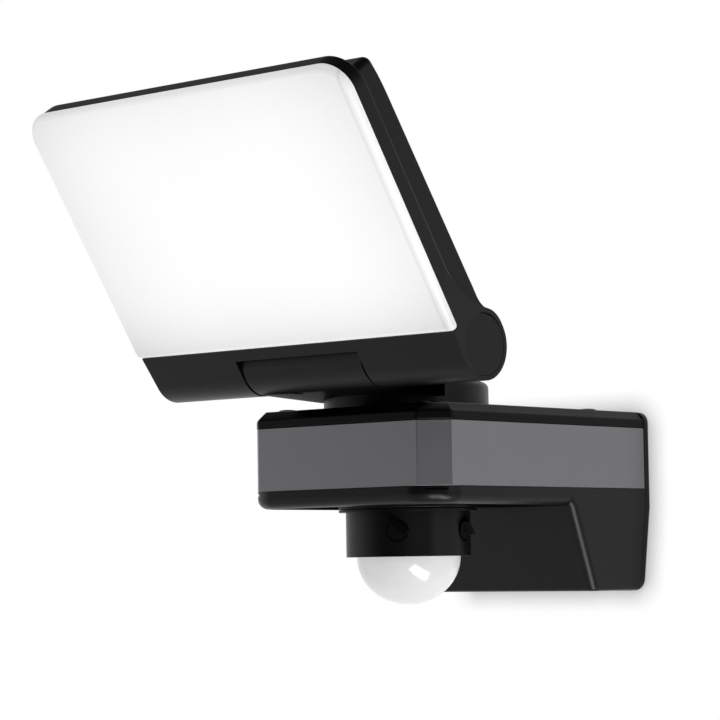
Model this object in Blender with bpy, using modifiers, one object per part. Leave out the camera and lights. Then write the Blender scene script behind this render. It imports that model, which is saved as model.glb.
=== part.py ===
"""Wall flood light with a motion sensor.

The wall is the plane y = 0 and the light stands out from it along -Y, with +Z up. The origin is the
middle of the wall plate's back face. All lengths are in metres.
"""

import math

import bmesh
import bpy
from mathutils import Matrix, Vector

for old in list(bpy.data.objects):
    bpy.data.objects.remove(old)

MM = 0.001

# Clearance between pieces that touch, and how far a cutter passes through what it cuts
GAP = 0.3 * MM
OVER = 2 * MM

# Wall plate
PLATE_HEIGHT = 80 * MM
PLATE_THICK = 3 * MM
PLATE_FOOT_WIDTH = 103 * MM
PLATE_CORNER = 5 * MM
CABLE_HOLE_RADIUS = 8 * MM
CABLE_HOLE_HEIGHT = 16 * MM
CABLE_RADIUS = 4.5 * MM
GROMMET_FLANGE = 2.5 * MM
GROMMET_THICK = 2 * MM
WALL_HOLE_RADIUS = 2.6 * MM
WALL_HOLE_SPACING = 76 * MM
WALL_HOLE_HEIGHT = 26 * MM
TAB_SIZE = 10 * MM
TAB_THICK = 5 * MM
TAB_SPACING = 64 * MM

# Base housing, trim band and top cover
BODY_WIDTH = 111 * MM
BODY_DEPTH = 150 * MM
BODY_CHAMFER = 10.5 * MM
TRIM_HEIGHT = 27.5 * MM
TRIM_THICK = 2 * MM
TRIM_RECESS = 0.3 * MM
COVER_RIM = 3.5 * MM
COVER_BEVEL = 3.8 * MM
COVER_THICK = 3.2 * MM
SKIRT_HEIGHT = 7.8 * MM
SKIRT_ROUND = 3.5 * MM
HOUSING_WALL = 2.2 * MM
FLOOR_THICK = 2.5 * MM
WEDGE_TOP_DEPTH = 60 * MM
WEDGE_FOOT_DEPTH = 40 * MM
WEDGE_FOOT_WALL = 4 * MM
WEDGE_ROUND = 2 * MM
WEDGE_PROUD = 0.1 * MM
WIRE_SLOT = 15 * MM

# Screws
SCREW_HEAD_RADIUS = 4 * MM
SCREW_HEAD_HEIGHT = 1.8 * MM
SCREW_RADIUS = 1.7 * MM
SCREW_LENGTH = 14 * MM
SCREW_HEAD_SHAPE = ((0, 1), (0.6, 0.9), (1, 0.4), (1, 0))  # shares of the radius and height
POST_RADIUS = 4 * MM
FRONT_SCREW_INSET = (17.5 * MM, 12 * MM)
REAR_SCREW_INSET = (11.5 * MM, 27 * MM)

# Swivel arm: turntable, neck and hinge knuckle
PAN_OFFSET = 103 * MM
TURNTABLE_RADIUS = 36 * MM
TURNTABLE_HEIGHT = 11.4 * MM
TURNTABLE_ROUND = 3 * MM
SPINDLE_RADIUS = 11 * MM
SPINDLE_BORE = 7 * MM
WASHER_THICK = 1.5 * MM
WASHER_RADIUS = 18 * MM
NUT_RADIUS = 16 * MM
NUT_HEIGHT = 4.5 * MM
KNUCKLE_REACH = 54 * MM
KNUCKLE_RISE = 20.7 * MM
KNUCKLE_RADIUS = 14.5 * MM
KNUCKLE_WIDTH = 66.6 * MM
NECK_LIFT = 4 * MM
NECK_CREST = (12 * MM, 2 * MM)  # ahead of the turntable axis and above its top
LOCK_SCREW_SPACING = 29 * MM
LOCK_SCREW_RADIUS = 2.4 * MM

# Head: frame with barrel, diffuser and back cover
HEAD_LEAN = math.radians(34)
HEAD_WIDTH = 180 * MM
HEAD_HEIGHT = 119.5 * MM
HEAD_CORNER = 12.5 * MM
HEAD_FOOT_CORNER = 2.7 * MM
LEAST_CORNER = 0.5 * MM
FRAME_DEPTH = 7.6 * MM
FRAME_WALL = 2.5 * MM
FRAME_BACK = 2.1 * MM
BARREL_RADIUS = 14.7 * MM
BARREL_INSET = 2.7 * MM
BARREL_DROP = 14.8 * MM
BARREL_SET_BACK = 13.1 * MM
BARREL_BORE = 10.2 * MM
BARREL_WALL = 6 * MM
FILLET_RADIUS = 12 * MM
HINGE_CLEARANCE = 2.3 * MM
HINGE_GAP = 1.2 * MM
HINGE_WASHER_RADIUS = 9.5 * MM
PIN_RADIUS = 4.5 * MM
PIN_HEAD_RADIUS = 8 * MM
PIN_HEAD_THICK = 3 * MM
CAP_RADIUS = 12.5 * MM
CAP_THICK = 3 * MM
CAP_PLUG_LENGTH = 6 * MM
CAP_GROOVE = 0.5 * MM
DIFFUSER_RISE = 3.4 * MM
DIFFUSER_WALL = 2 * MM
DIFFUSER_ROUND = 2.6 * MM
DIFFUSER_LIP = 2 * MM
SEAL_WIDTH = 2 * MM
SPREADER_THICK = 1.6 * MM
LED_BOARD_THICK = 1.2 * MM
LED_BOARD_MARGIN = 14 * MM
LED_SIZE = 7 * MM
LED_THICK = 1 * MM
LED_COLUMNS = 4
LED_ROWS = 2
BACK_DEPTH_TOP = 10.4 * MM
BACK_DEPTH_FOOT = 12.6 * MM
BACK_SIDE_INSET = 3 * MM
BACK_TOP_INSET = 6 * MM
BACK_FOOT = 9.5 * MM
BACK_WALL = 2.2 * MM
BACK_ROUND = 2 * MM
BACK_SCREW_INSET = 10 * MM
BACK_SCREW_RADIUS = 1.4 * MM
BACK_SCREW_HEAD_RADIUS = 2.8 * MM
BACK_SCREW_HEAD_HEIGHT = 1.2 * MM

# Sensor below the housing, on the same upright axis as the turntable
RING_RADIUS = 30.2 * MM
RING_THICK = 1 * MM
FLANGE_THICK = 1.3 * MM
COLLAR_RADIUS = 27.1 * MM
COLLAR_HEIGHT = 18.4 * MM
COLLAR_WALL = 2.5 * MM
COLLAR_TOP = 1.6 * MM
COLLAR_LIP = 2 * MM
COLLAR_EDGE = 0.8 * MM
SENSOR_NECK_RADIUS = 14 * MM
SENSOR_NECK_WALL = 2.5 * MM
CLIP_RADIUS = 18 * MM
CLIP_THICK = 1.5 * MM
CLIP_GROOVE = 1 * MM
CLIP_LAND = 1 * MM
DOME_RADIUS = 22.6 * MM
DOME_HEIGHT = 20.7 * MM
DOME_WALL = 1 * MM
DOME_FLANGE = 1.5 * MM
SENSOR_BOARD_THICK = 1.6 * MM
PYRO_RADIUS = 4.6 * MM
PYRO_HEIGHT = 4.2 * MM
PYRO_CAN_RADIUS = 4.05 * MM
PYRO_FLANGE = 0.8 * MM
KNOB_BEARINGS = {"time": math.radians(30), "light": math.radians(103)}
KNOB_DROP = 7 * MM
KNOB_RADIUS = 4.4 * MM
KNOB_THICK = 1.4 * MM
KNOB_RECESS_DEPTH = 1.2 * MM
KNOB_GRIP_WIDTH = 2.6 * MM
KNOB_GRIP_HEIGHT = 3.4 * MM
KNOB_SETTING = math.radians(50)
KNOB_SHAFT_RADIUS = 1.5 * MM
KNOB_SHAFT_LENGTH = 2.4 * MM
POT_SIZE = 8 * MM
POT_DEPTH = 4 * MM

# Electronics in the base
TERMINAL_SIZE = (32 * MM, 12 * MM, 16 * MM)
TERMINAL_WELL_RADIUS = 2 * MM
TERMINAL_WELL_DEPTH = 6 * MM
TERMINAL_PITCH = 10 * MM
DRIVER_WIDTH = 72 * MM
DRIVER_BOARD_THICK = 1.6 * MM
DRIVER_POST_RADIUS = 3 * MM
DRIVER_POST_HEIGHT = 6 * MM
TRANSFORMER_SIZE = (26 * MM, 24 * MM, 17 * MM)
TRANSFORMER_EDGE = 1.5 * MM
RELAY_SIZE = (19 * MM, 15 * MM, 14 * MM)
CAPACITOR_RADIUS = 6.5 * MM
CAPACITOR_HEIGHT = 18 * MM

# Facets of round pieces
LARGE_STEPS = 32
SMALL_STEPS = 14
FINE_STEPS = 10
ARC_STEPS = 4
DOME_STEPS = 7
SMOOTH_ANGLE = math.radians(40)
FLAT_ANGLE = math.radians(0.5)
WELD = 0.01 * MM

# Levels and places worked out from the sizes above
COVER_TOP = PLATE_HEIGHT / 2
COVER_RIM_FOOT = COVER_TOP - COVER_BEVEL - COVER_RIM
COVER_CEILING = COVER_TOP - COVER_THICK
TRIM_FOOT = COVER_RIM_FOOT - TRIM_HEIGHT
SKIRT_FOOT = TRIM_FOOT - SKIRT_HEIGHT
FLOOR_TOP = SKIRT_FOOT + FLOOR_THICK
PLATE_FOOT = -PLATE_HEIGHT / 2
BODY_BACK = -PLATE_THICK - GAP
PAN_Y = -PAN_OFFSET
TURNTABLE_FOOT = COVER_TOP + GAP
TURNTABLE_TOP = TURNTABLE_FOOT + TURNTABLE_HEIGHT
HINGE_Z = COVER_TOP + KNUCKLE_RISE
WALL_INSET = TRIM_THICK + GAP
COVER_SCREWS = {
    "front_left": (FRONT_SCREW_INSET[0] - BODY_WIDTH / 2, FRONT_SCREW_INSET[1] - BODY_DEPTH),
    "front_right": (BODY_WIDTH / 2 - FRONT_SCREW_INSET[0], FRONT_SCREW_INSET[1] - BODY_DEPTH),
    "rear_left": (REAR_SCREW_INSET[0] - BODY_WIDTH / 2, BODY_BACK - REAR_SCREW_INSET[1]),
    "rear_right": (BODY_WIDTH / 2 - REAR_SCREW_INSET[0], BODY_BACK - REAR_SCREW_INSET[1]),
}

# Levels in the sensor, which hangs under the floor
RING_FOOT = SKIRT_FOOT - GAP - RING_THICK
FLANGE_TOP = RING_FOOT - GAP
FLANGE_FOOT = FLANGE_TOP - FLANGE_THICK
COLLAR_FOOT = FLANGE_FOOT - COLLAR_HEIGHT
COLLAR_CEILING = FLANGE_FOOT - COLLAR_TOP
COLLAR_BORE = COLLAR_RADIUS - COLLAR_WALL
SENSOR_BOARD_FOOT = COLLAR_CEILING - GAP - SENSOR_BOARD_THICK
KNOB_Z = FLANGE_FOOT - KNOB_DROP

# Places in the upright head, seen from the hinge axis: front is -Y
HEAD_FRONT = -BARREL_SET_BACK
HEAD_FOOT = BARREL_DROP
HEAD_TOP = HEAD_FOOT + HEAD_HEIGHT
FRAME_REAR = HEAD_FRONT + FRAME_DEPTH
TRAY_FLOOR = FRAME_REAR - FRAME_BACK
SPREADER_FRONT = TRAY_FLOOR - GAP - SPREADER_THICK
LED_BOARD_FRONT = SPREADER_FRONT - GAP - LED_BOARD_THICK
DIFFUSER_BACK = HEAD_FRONT - GAP
DIFFUSER_FRONT = HEAD_FRONT - DIFFUSER_RISE
BACK_FRONT = FRAME_REAR + GAP
BACK_LOW = HEAD_FOOT + BACK_FOOT
BACK_TOP = HEAD_TOP - BACK_TOP_INSET
SLOT_WIDTH = KNUCKLE_WIDTH + 2 * HINGE_GAP
BARREL_WIDTH = HEAD_WIDTH - 2 * BARREL_INSET

parts = bpy.data.collections.new("sensor_flood_light")
cutters = bpy.data.collections.new("cutters")
bpy.context.scene.collection.children.link(parts)
bpy.context.scene.collection.children.link(cutters)

# Turns an outline drawn in X and Y, and raised along Z, so that it is raised along each axis
RAISED_ALONG = {
    "X": Matrix(((0, 0, 1, 0), (1, 0, 0, 0), (0, 1, 0, 0), (0, 0, 0, 1))),
    "Y": Matrix(((1, 0, 0, 0), (0, 0, -1, 0), (0, 1, 0, 0), (0, 0, 0, 1))),
    "Z": Matrix.Identity(4),
}
DIRECTIONS = {"X": Vector((1, 0, 0)), "Y": Vector((0, 1, 0)), "Z": Vector((0, 0, 1))}


def material(name, colour, roughness, metallic=0.0):
    """A Principled material of one colour."""
    made = bpy.data.materials.new(name)
    made.use_nodes = True
    shader = made.node_tree.nodes["Principled BSDF"]
    shader.inputs["Base Color"].default_value = (*colour, 1)
    shader.inputs["Roughness"].default_value = roughness
    shader.inputs["Metallic"].default_value = metallic
    return made


def add(name, mesh, parent=None):
    """A new object with this mesh, in the parts collection."""
    obj = bpy.data.objects.new(name, mesh)
    parts.objects.link(obj)
    obj.parent = parent
    return obj


def axis_empty(name, location, parent=None):
    """An empty on a joint's axis, which carries what turns there."""
    empty = bpy.data.objects.new(name, None)
    parts.objects.link(empty)
    empty.parent = parent
    empty.location = location
    return empty


def box(name, low, high, parent=None):
    """A block between two corners."""
    mesh = bpy.data.meshes.new(name)
    shape = bmesh.new()
    bmesh.ops.create_cube(shape, size=1)
    low, high = Vector(low), Vector(high)
    bmesh.ops.scale(shape, vec=high - low, verts=shape.verts)
    bmesh.ops.translate(shape, vec=(low + high) / 2, verts=shape.verts)
    shape.to_mesh(mesh)
    shape.free()
    return add(name, mesh, parent)


def evaluated(drawn):
    """The mesh that a drawn curve or profile comes to, which then takes its place."""
    graph = bpy.context.evaluated_depsgraph_get()
    mesh = bpy.data.meshes.new_from_object(drawn.evaluated_get(graph))
    bpy.data.objects.remove(drawn)
    return mesh


def smooth(mesh):
    """Shades round surfaces smooth and leaves their corners sharp."""
    mesh.shade_smooth()
    mesh.set_sharp_from_angle(angle=SMOOTH_ANGLE)


def rod(name, radius, low, high, axis, parent=None, steps=SMALL_STEPS):
    """A cylinder between two points on a line along one axis."""
    low, high = Vector(low), Vector(high)
    mesh = bpy.data.meshes.new(name)
    shape = bmesh.new()
    bmesh.ops.create_cone(
        shape, cap_ends=True, segments=steps, radius1=radius, radius2=radius, depth=(high - low).length
    )
    shape.to_mesh(mesh)
    shape.free()
    mesh.transform(Matrix.Translation((low + high) / 2) @ RAISED_ALONG[axis])
    smooth(mesh)
    return add(name, mesh, parent)


def turned(name, profile, parent=None, steps=LARGE_STEPS, ring=False):
    """A turned piece: its profile in radius and height runs down the outer side, closed for a ring."""
    mesh = bpy.data.meshes.new(name)
    edges = [(i, i + 1) for i in range(len(profile) - 1)]
    if ring:
        edges.append((len(profile) - 1, 0))
    mesh.from_pydata([(radius, 0, height) for radius, height in profile], edges, [])
    drawn = add(name + "_profile", mesh)
    screw_turn = drawn.modifiers.new("Screw", "SCREW")
    screw_turn.steps = screw_turn.render_steps = steps
    screw_turn.use_merge_vertices = True
    screw_turn.merge_threshold = WELD
    mesh = evaluated(drawn)
    smooth(mesh)
    mesh.name = name
    return add(name, mesh, parent)


def raised(name, outline, low, high, axis, parent=None):
    """A flat outline given thickness between two levels along one axis."""
    curve = bpy.data.curves.new(name, "CURVE")
    curve.dimensions = "2D"
    curve.fill_mode = "BOTH"
    curve.extrude = (high - low) / 2
    spline = curve.splines.new("POLY")
    spline.points.add(len(outline) - 1)
    for point, (across, along) in zip(spline.points, outline):
        point.co = (across, along, 0, 1)
    spline.use_cyclic_u = True
    drawn = add(name + "_outline", curve)
    mesh = evaluated(drawn)
    shape = bmesh.new()
    shape.from_mesh(mesh)
    bmesh.ops.remove_doubles(shape, verts=shape.verts, dist=WELD)
    bmesh.ops.dissolve_limit(
        shape, angle_limit=FLAT_ANGLE, verts=shape.verts, edges=shape.edges
    )
    bmesh.ops.recalc_face_normals(shape, faces=shape.faces)
    shape.to_mesh(mesh)
    shape.free()
    mesh.transform(Matrix.Translation(DIRECTIONS[axis] * (low + high) / 2) @ RAISED_ALONG[axis])
    smooth(mesh)
    mesh.name = name
    return add(name, mesh, parent)


def arc(centre, radius, start, end, steps=ARC_STEPS):
    """Points on an arc, between two angles in degrees."""
    angles = [math.radians(start + (end - start) * i / steps) for i in range(steps + 1)]
    return [(centre[0] + radius * math.cos(a), centre[1] + radius * math.sin(a)) for a in angles]


def rounded(corners):
    """An outline through corners given as across, along and corner radius."""
    points = []
    for i, (across, along, radius) in enumerate(corners):
        here = Vector((across, along))
        if not radius:
            points.append(tuple(here))
            continue
        before = (Vector(corners[i - 1][:2]) - here).normalized()
        after = (Vector(corners[(i + 1) % len(corners)][:2]) - here).normalized()
        half = before.angle(after) / 2
        centre = here + (before + after).normalized() * radius / math.sin(half)
        first = here + before * radius / math.tan(half) - centre
        turn = first.angle_signed(here + after * radius / math.tan(half) - centre)
        for step in range(ARC_STEPS + 1):
            points.append(tuple(centre + Matrix.Rotation(-turn * step / ARC_STEPS, 2) @ first))
    return points


def round_edges(obj, width, segments, chosen):
    """Bevels the edges that the test picks from their two ends."""
    weights = obj.data.attributes.new("bevel_weight_edge", "FLOAT", "EDGE")
    points = obj.data.vertices
    for edge, weight in zip(obj.data.edges, weights.data):
        ends = [points[i].co for i in edge.vertices]
        weight.value = 1.0 if chosen(*ends) else 0.0
    bevel = obj.modifiers.new("Bevel", "BEVEL")
    bevel.limit_method = "WEIGHT"
    bevel.width = width
    bevel.segments = segments


def combine(target, other, operation):
    """A Boolean between a piece and a helper, which moves to the cutters."""
    parts.objects.unlink(other)
    cutters.objects.link(other)
    other.hide_render = True
    other.display_type = "WIRE"
    boolean = target.modifiers.new(other.name, "BOOLEAN")
    boolean.operation = operation
    boolean.object = other


def cut(target, *others):
    for other in others:
        combine(target, other, "DIFFERENCE")


def join(target, *others):
    for other in others:
        combine(target, other, "UNION")


def body_outline(inset, back):
    """The housing seen from above: square at the wall, with two chamfered front corners."""
    half = BODY_WIDTH / 2 - inset
    front = inset - BODY_DEPTH
    chamfer = BODY_CHAMFER - inset * (2 - math.sqrt(2))
    return [
        (-half, back),
        (-half, front + chamfer),
        (-half + chamfer, front),
        (half - chamfer, front),
        (half, front + chamfer),
        (half, back),
    ]


def head_outline(inset):
    """The head seen from the front: large top corners and small bottom corners."""
    half = HEAD_WIDTH / 2 - inset
    top_corner = HEAD_CORNER - inset
    foot_corner = max(HEAD_FOOT_CORNER - inset, LEAST_CORNER)
    return rounded(
        (
            (-half, HEAD_FOOT + inset, foot_corner),
            (half, HEAD_FOOT + inset, foot_corner),
            (half, HEAD_TOP - inset, top_corner),
            (-half, HEAD_TOP - inset, top_corner),
        )
    )


def wedge_block(name, inset, low, high):
    """The wedge under the housing, which narrows and slopes back to the wall toward its foot."""
    half = BODY_WIDTH / 2 + WEDGE_PROUD - inset
    foot_half = PLATE_FOOT_WIDTH / 2 - inset
    front_view = (
        (-foot_half, low),
        (foot_half, low),
        (half, SKIRT_FOOT),
        (half, high),
        (-half, high),
        (-half, SKIRT_FOOT),
    )
    side_view = (
        (2 * OVER, low - OVER),
        (2 * OVER, high + OVER),
        (inset - WEDGE_TOP_DEPTH, high + OVER),
        (inset - WEDGE_TOP_DEPTH, SKIRT_FOOT),
        (inset - WEDGE_FOOT_DEPTH, low),
        (inset - WEDGE_FOOT_DEPTH, low - OVER),
    )
    block = raised(name, front_view, -BODY_DEPTH, OVER, "Y")
    slope = raised(name + "_slope", side_view, -BODY_WIDTH, BODY_WIDTH, "X")
    combine(block, slope, "INTERSECT")
    return block


black_plastic = material("black_plastic", (0.012, 0.012, 0.013), 0.45)
grey_trim = material("grey_trim", (0.105, 0.107, 0.115), 0.35)
opal = material("opal", (0.86, 0.86, 0.86), 0.35)
rubber = material("rubber", (0.02, 0.02, 0.02), 0.8)
steel = material("steel", (0.55, 0.55, 0.56), 0.3, 1.0)
black_steel = material("black_steel", (0.014, 0.014, 0.015), 0.4, 0.6)
aluminium = material("aluminium", (0.6, 0.6, 0.62), 0.4, 1.0)
green_board = material("green_board", (0.02, 0.12, 0.05), 0.5)
white_board = material("white_board", (0.75, 0.75, 0.73), 0.5)
led_yellow = material("led_yellow", (0.8, 0.62, 0.15), 0.4)
grey_plastic = material("grey_plastic", (0.45, 0.45, 0.45), 0.5)
blue_sleeve = material("blue_sleeve", (0.03, 0.06, 0.25), 0.35)
brass = material("brass", (0.6, 0.42, 0.14), 0.35, 1.0)


def finish(obj, colour):
    obj.data.materials.append(colour)


def wall_plate():
    """Flat plate against the wall, with the cable hole, wall screw holes and two screw tabs."""
    half = BODY_WIDTH / 2
    foot = PLATE_FOOT_WIDTH / 2
    outline = rounded(
        (
            (-foot, PLATE_FOOT, PLATE_CORNER),
            (foot, PLATE_FOOT, PLATE_CORNER),
            (half, SKIRT_FOOT, 0),
            (half, COVER_TOP, PLATE_CORNER),
            (-half, COVER_TOP, PLATE_CORNER),
            (-half, SKIRT_FOOT, 0),
        )
    )
    plate = raised("wall_plate", outline, -PLATE_THICK, 0, "Y")
    tab_foot = PLATE_FOOT + WEDGE_FOOT_WALL + GAP
    for side in (-1, 1):
        across = side * TAB_SPACING / 2
        tab = box(
            f"plate_tab_{side}",
            (across - TAB_SIZE / 2, -PLATE_THICK - TAB_SIZE, tab_foot),
            (across + TAB_SIZE / 2, -PLATE_THICK / 2, tab_foot + TAB_THICK),
        )
        join(plate, tab)
        middle = -PLATE_THICK - TAB_SIZE / 2
        cut(
            plate,
            rod(
                f"tab_hole_{side}",
                SCREW_RADIUS + GAP,
                (across, middle, tab_foot - OVER),
                (across, middle, tab_foot + TAB_THICK + OVER),
                "Z",
            ),
        )
        for level in (-1, 1):
            spot = (side * WALL_HOLE_SPACING / 2, level * WALL_HOLE_HEIGHT)
            hole = rod(
                f"wall_hole_{side}_{level}",
                WALL_HOLE_RADIUS,
                (spot[0], -PLATE_THICK - OVER, spot[1]),
                (spot[0], OVER, spot[1]),
                "Y",
            )
            cut(plate, hole)
    cable_hole = rod(
        "cable_hole",
        CABLE_HOLE_RADIUS,
        (0, -PLATE_THICK - OVER, CABLE_HOLE_HEIGHT),
        (0, OVER, CABLE_HOLE_HEIGHT),
        "Y",
    )
    cut(plate, cable_hole)
    finish(plate, black_plastic)


def cable_grommet():
    """Rubber sleeve in the plate's cable hole, flanged on the inside."""
    flange = CABLE_HOLE_RADIUS + GROMMET_FLANGE
    sleeve = CABLE_HOLE_RADIUS - GAP
    seat = PLATE_THICK + GAP
    profile = (
        (CABLE_RADIUS, seat + GROMMET_THICK),
        (flange, seat + GROMMET_THICK),
        (flange, seat),
        (sleeve, seat),
        (sleeve, GAP),
        (CABLE_RADIUS, GAP),
    )
    grommet = turned("cable_grommet", profile, steps=SMALL_STEPS, ring=True)
    grommet.location = (0, 0, CABLE_HOLE_HEIGHT)
    grommet.rotation_euler = (math.radians(90), 0, 0)
    finish(grommet, rubber)


def terminal_block():
    """Three-way block on the plate, below the floor, where the mains lead ends."""
    width, depth, height = TERMINAL_SIZE
    top = SKIRT_FOOT - HOUSING_WALL - OVER
    back = BODY_BACK
    block = box("terminal_block", (-width / 2, back - depth, top - height), (width / 2, back, top))
    for pole in (-1, 0, 1):
        across = pole * TERMINAL_PITCH
        well = rod(
            f"terminal_well_{pole}",
            TERMINAL_WELL_RADIUS,
            (across, back - depth - OVER, top - height / 2),
            (across, back - depth + TERMINAL_WELL_DEPTH, top - height / 2),
            "Y",
        )
        cut(block, well)
    finish(block, grey_plastic)


def screw(name, spot, length, head_radius, head_height, shank, colour, parent=None):
    """A round-headed screw, pointing down from the underside of its head."""
    profile = (
        *((head_radius * across, head_height * up) for across, up in SCREW_HEAD_SHAPE),
        (shank, 0),
        (shank, -length),
        (0, -length),
    )
    made = turned(name, profile, parent, steps=FINE_STEPS)
    made.location = spot
    finish(made, colour)
    return made


def base_screws():
    """Two screws up through the wedge's foot into the plate's tabs."""
    seat = PLATE_FOOT + WEDGE_FOOT_WALL / 2
    for side, word in ((-1, "left"), (1, "right")):
        fixing = screw(
            f"base_screw_{word}",
            (side * TAB_SPACING / 2, -PLATE_THICK - TAB_SIZE / 2, seat),
            WEDGE_FOOT_WALL / 2 + TAB_THICK,
            SCREW_HEAD_RADIUS - GAP,
            WEDGE_FOOT_WALL / 2 - GAP,
            SCREW_RADIUS,
            steel,
        )
        fixing.rotation_euler = (math.radians(180), 0, 0)


def base_housing():
    """Black lower housing: skirt, floor, inner walls behind the trim, and the hollow wall wedge."""
    housing = raised("base_housing", body_outline(0, 3 * OVER), SKIRT_FOOT, TRIM_FOOT, "Z")
    round_edges(
        housing,
        SKIRT_ROUND,
        3,
        lambda a, b: max(a.z, b.z) < SKIRT_FOOT + GAP and min(a.y, b.y) < BODY_BACK - GAP,
    )
    wall_top = COVER_CEILING - GAP
    walls = raised(
        "inner_walls", body_outline(WALL_INSET, 4 * OVER), TRIM_FOOT - FLOOR_THICK, wall_top, "Z"
    )
    wedge = wedge_block("wedge", 0, PLATE_FOOT + GAP, TRIM_FOOT - GAP)
    softened = wedge.modifiers.new("Bevel", "BEVEL")
    softened.width = WEDGE_ROUND
    softened.segments = 2
    join(housing, walls, wedge)
    room = raised(
        "room", body_outline(WALL_INSET + HOUSING_WALL, 5 * OVER), FLOOR_TOP, wall_top + OVER, "Z"
    )
    hollow = wedge_block(
        "wedge_hollow", HOUSING_WALL, PLATE_FOOT + WEDGE_FOOT_WALL, SKIRT_FOOT + GAP
    )
    behind = box(
        "behind_housing",
        (-BODY_WIDTH, BODY_BACK, PLATE_FOOT - OVER),
        (BODY_WIDTH, 6 * OVER, COVER_TOP + OVER),
    )
    slot = box(
        "wire_slot",
        (-TERMINAL_SIZE[0] / 2, BODY_BACK - WIRE_SLOT, SKIRT_FOOT - OVER),
        (TERMINAL_SIZE[0] / 2, OVER, FLOOR_TOP + OVER),
    )
    sensor_hole = rod(
        "sensor_hole",
        SENSOR_NECK_RADIUS + GAP,
        (0, PAN_Y, SKIRT_FOOT - OVER),
        (0, PAN_Y, FLOOR_TOP + OVER),
        "Z",
        steps=LARGE_STEPS,
    )
    cut(housing, behind, room, hollow, slot, sensor_hole)
    for word, (across, along) in COVER_SCREWS.items():
        post = rod(
            f"post_{word}",
            POST_RADIUS,
            (across, along, FLOOR_TOP - FLOOR_THICK / 2),
            (across, along, wall_top),
            "Z",
        )
        join(housing, post)
        pilot = rod(
            f"pilot_{word}",
            SCREW_RADIUS + GAP,
            (across, along, wall_top - SCREW_LENGTH),
            (across, along, wall_top + OVER),
            "Z",
        )
        cut(housing, pilot)
    for across, along in driver_posts():
        stand = rod(
            f"stand_{across:.3f}_{along:.3f}",
            DRIVER_POST_RADIUS,
            (across, along, FLOOR_TOP - FLOOR_THICK / 2),
            (across, along, FLOOR_TOP + DRIVER_POST_HEIGHT - GAP),
            "Z",
        )
        join(housing, stand)
    for side in (-1, 1):
        across = side * TAB_SPACING / 2
        along = -PLATE_THICK - TAB_SIZE / 2
        counterbore = rod(
            f"base_head_hole_{side}",
            SCREW_HEAD_RADIUS,
            (across, along, PLATE_FOOT - OVER),
            (across, along, PLATE_FOOT + WEDGE_FOOT_WALL / 2 + GAP),
            "Z",
        )
        passage = rod(
            f"base_shank_hole_{side}",
            SCREW_RADIUS + GAP,
            (across, along, PLATE_FOOT - OVER),
            (across, along, PLATE_FOOT + WEDGE_FOOT_WALL + OVER),
            "Z",
        )
        cut(housing, counterbore, passage)
    finish(housing, black_plastic)


def trim_band():
    """Grey band round the front, chamfers and sides, between the skirt and the cover."""
    outer = body_outline(TRIM_RECESS, BODY_BACK)
    inner = body_outline(TRIM_THICK, BODY_BACK)
    band = raised(
        "trim_band", outer + inner[::-1], TRIM_FOOT + GAP / 2, COVER_RIM_FOOT - GAP / 2, "Z"
    )
    finish(band, grey_trim)


def top_cover():
    """Black lid with a vertical rim and a bevelled top edge."""
    cover = raised("top_cover", body_outline(0, BODY_BACK), COVER_RIM_FOOT, COVER_TOP, "Z")
    round_edges(
        cover,
        COVER_BEVEL,
        1,
        lambda a, b: min(a.z, b.z) > COVER_TOP - GAP and min(a.y, b.y) < BODY_BACK - GAP,
    )
    room = raised(
        "cover_room", body_outline(TRIM_THICK, OVER), COVER_RIM_FOOT - OVER, COVER_CEILING, "Z"
    )
    spindle_hole = rod(
        "spindle_hole",
        SPINDLE_RADIUS + GAP,
        (0, PAN_Y, COVER_RIM_FOOT - OVER),
        (0, PAN_Y, COVER_TOP + OVER),
        "Z",
        steps=LARGE_STEPS,
    )
    cut(cover, spindle_hole)
    for word, (across, along) in COVER_SCREWS.items():
        hole = rod(
            f"cover_hole_{word}",
            SCREW_RADIUS + GAP,
            (across, along, COVER_RIM_FOOT - OVER),
            (across, along, COVER_TOP + OVER),
            "Z",
        )
        cut(cover, hole)
        screw(
            f"cover_screw_{word}",
            (across, along, COVER_TOP + GAP),
            SCREW_LENGTH,
            SCREW_HEAD_RADIUS,
            SCREW_HEAD_HEIGHT,
            SCREW_RADIUS,
            black_steel,
        )
    cut(cover, room)
    finish(cover, black_plastic)


def driver_span():
    """Front and rear of the driver board, between the sensor's clip and the wire slot."""
    return PAN_Y + CLIP_RADIUS + OVER, BODY_BACK - WIRE_SLOT - 2 * OVER


def driver_posts():
    front, rear = driver_span()
    inset = 2 * DRIVER_POST_RADIUS
    across = DRIVER_WIDTH / 2 - inset
    return [(side * across, along) for side in (-1, 1) for along in (front + inset, rear - inset)]


def driver_board():
    """Power board on four stands over the floor, with its three largest components."""
    front, rear = driver_span()
    foot = FLOOR_TOP + DRIVER_POST_HEIGHT
    top = foot + DRIVER_BOARD_THICK
    board = box("driver_board", (-DRIVER_WIDTH / 2, front, foot), (DRIVER_WIDTH / 2, rear, top))
    finish(board, green_board)
    seat = top + GAP
    middle = (front + rear) / 2
    width, depth, height = TRANSFORMER_SIZE
    transformer = box(
        "transformer",
        (-width - OVER, middle - depth / 2, seat),
        (-OVER, middle + depth / 2, seat + height),
    )
    round_edges(transformer, TRANSFORMER_EDGE, 1, lambda a, b: abs(a.z - b.z) > GAP)
    finish(transformer, blue_sleeve)
    width, depth, height = RELAY_SIZE
    relay = box(
        "relay", (OVER, middle - depth - OVER, seat), (OVER + width, middle - OVER, seat + height)
    )
    finish(relay, grey_plastic)
    spot = (OVER + CAPACITOR_RADIUS, middle + OVER + CAPACITOR_RADIUS)
    capacitor = rod(
        "capacitor", CAPACITOR_RADIUS, (*spot, seat), (*spot, seat + CAPACITOR_HEIGHT), "Z"
    )
    finish(capacitor, blue_sleeve)


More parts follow.
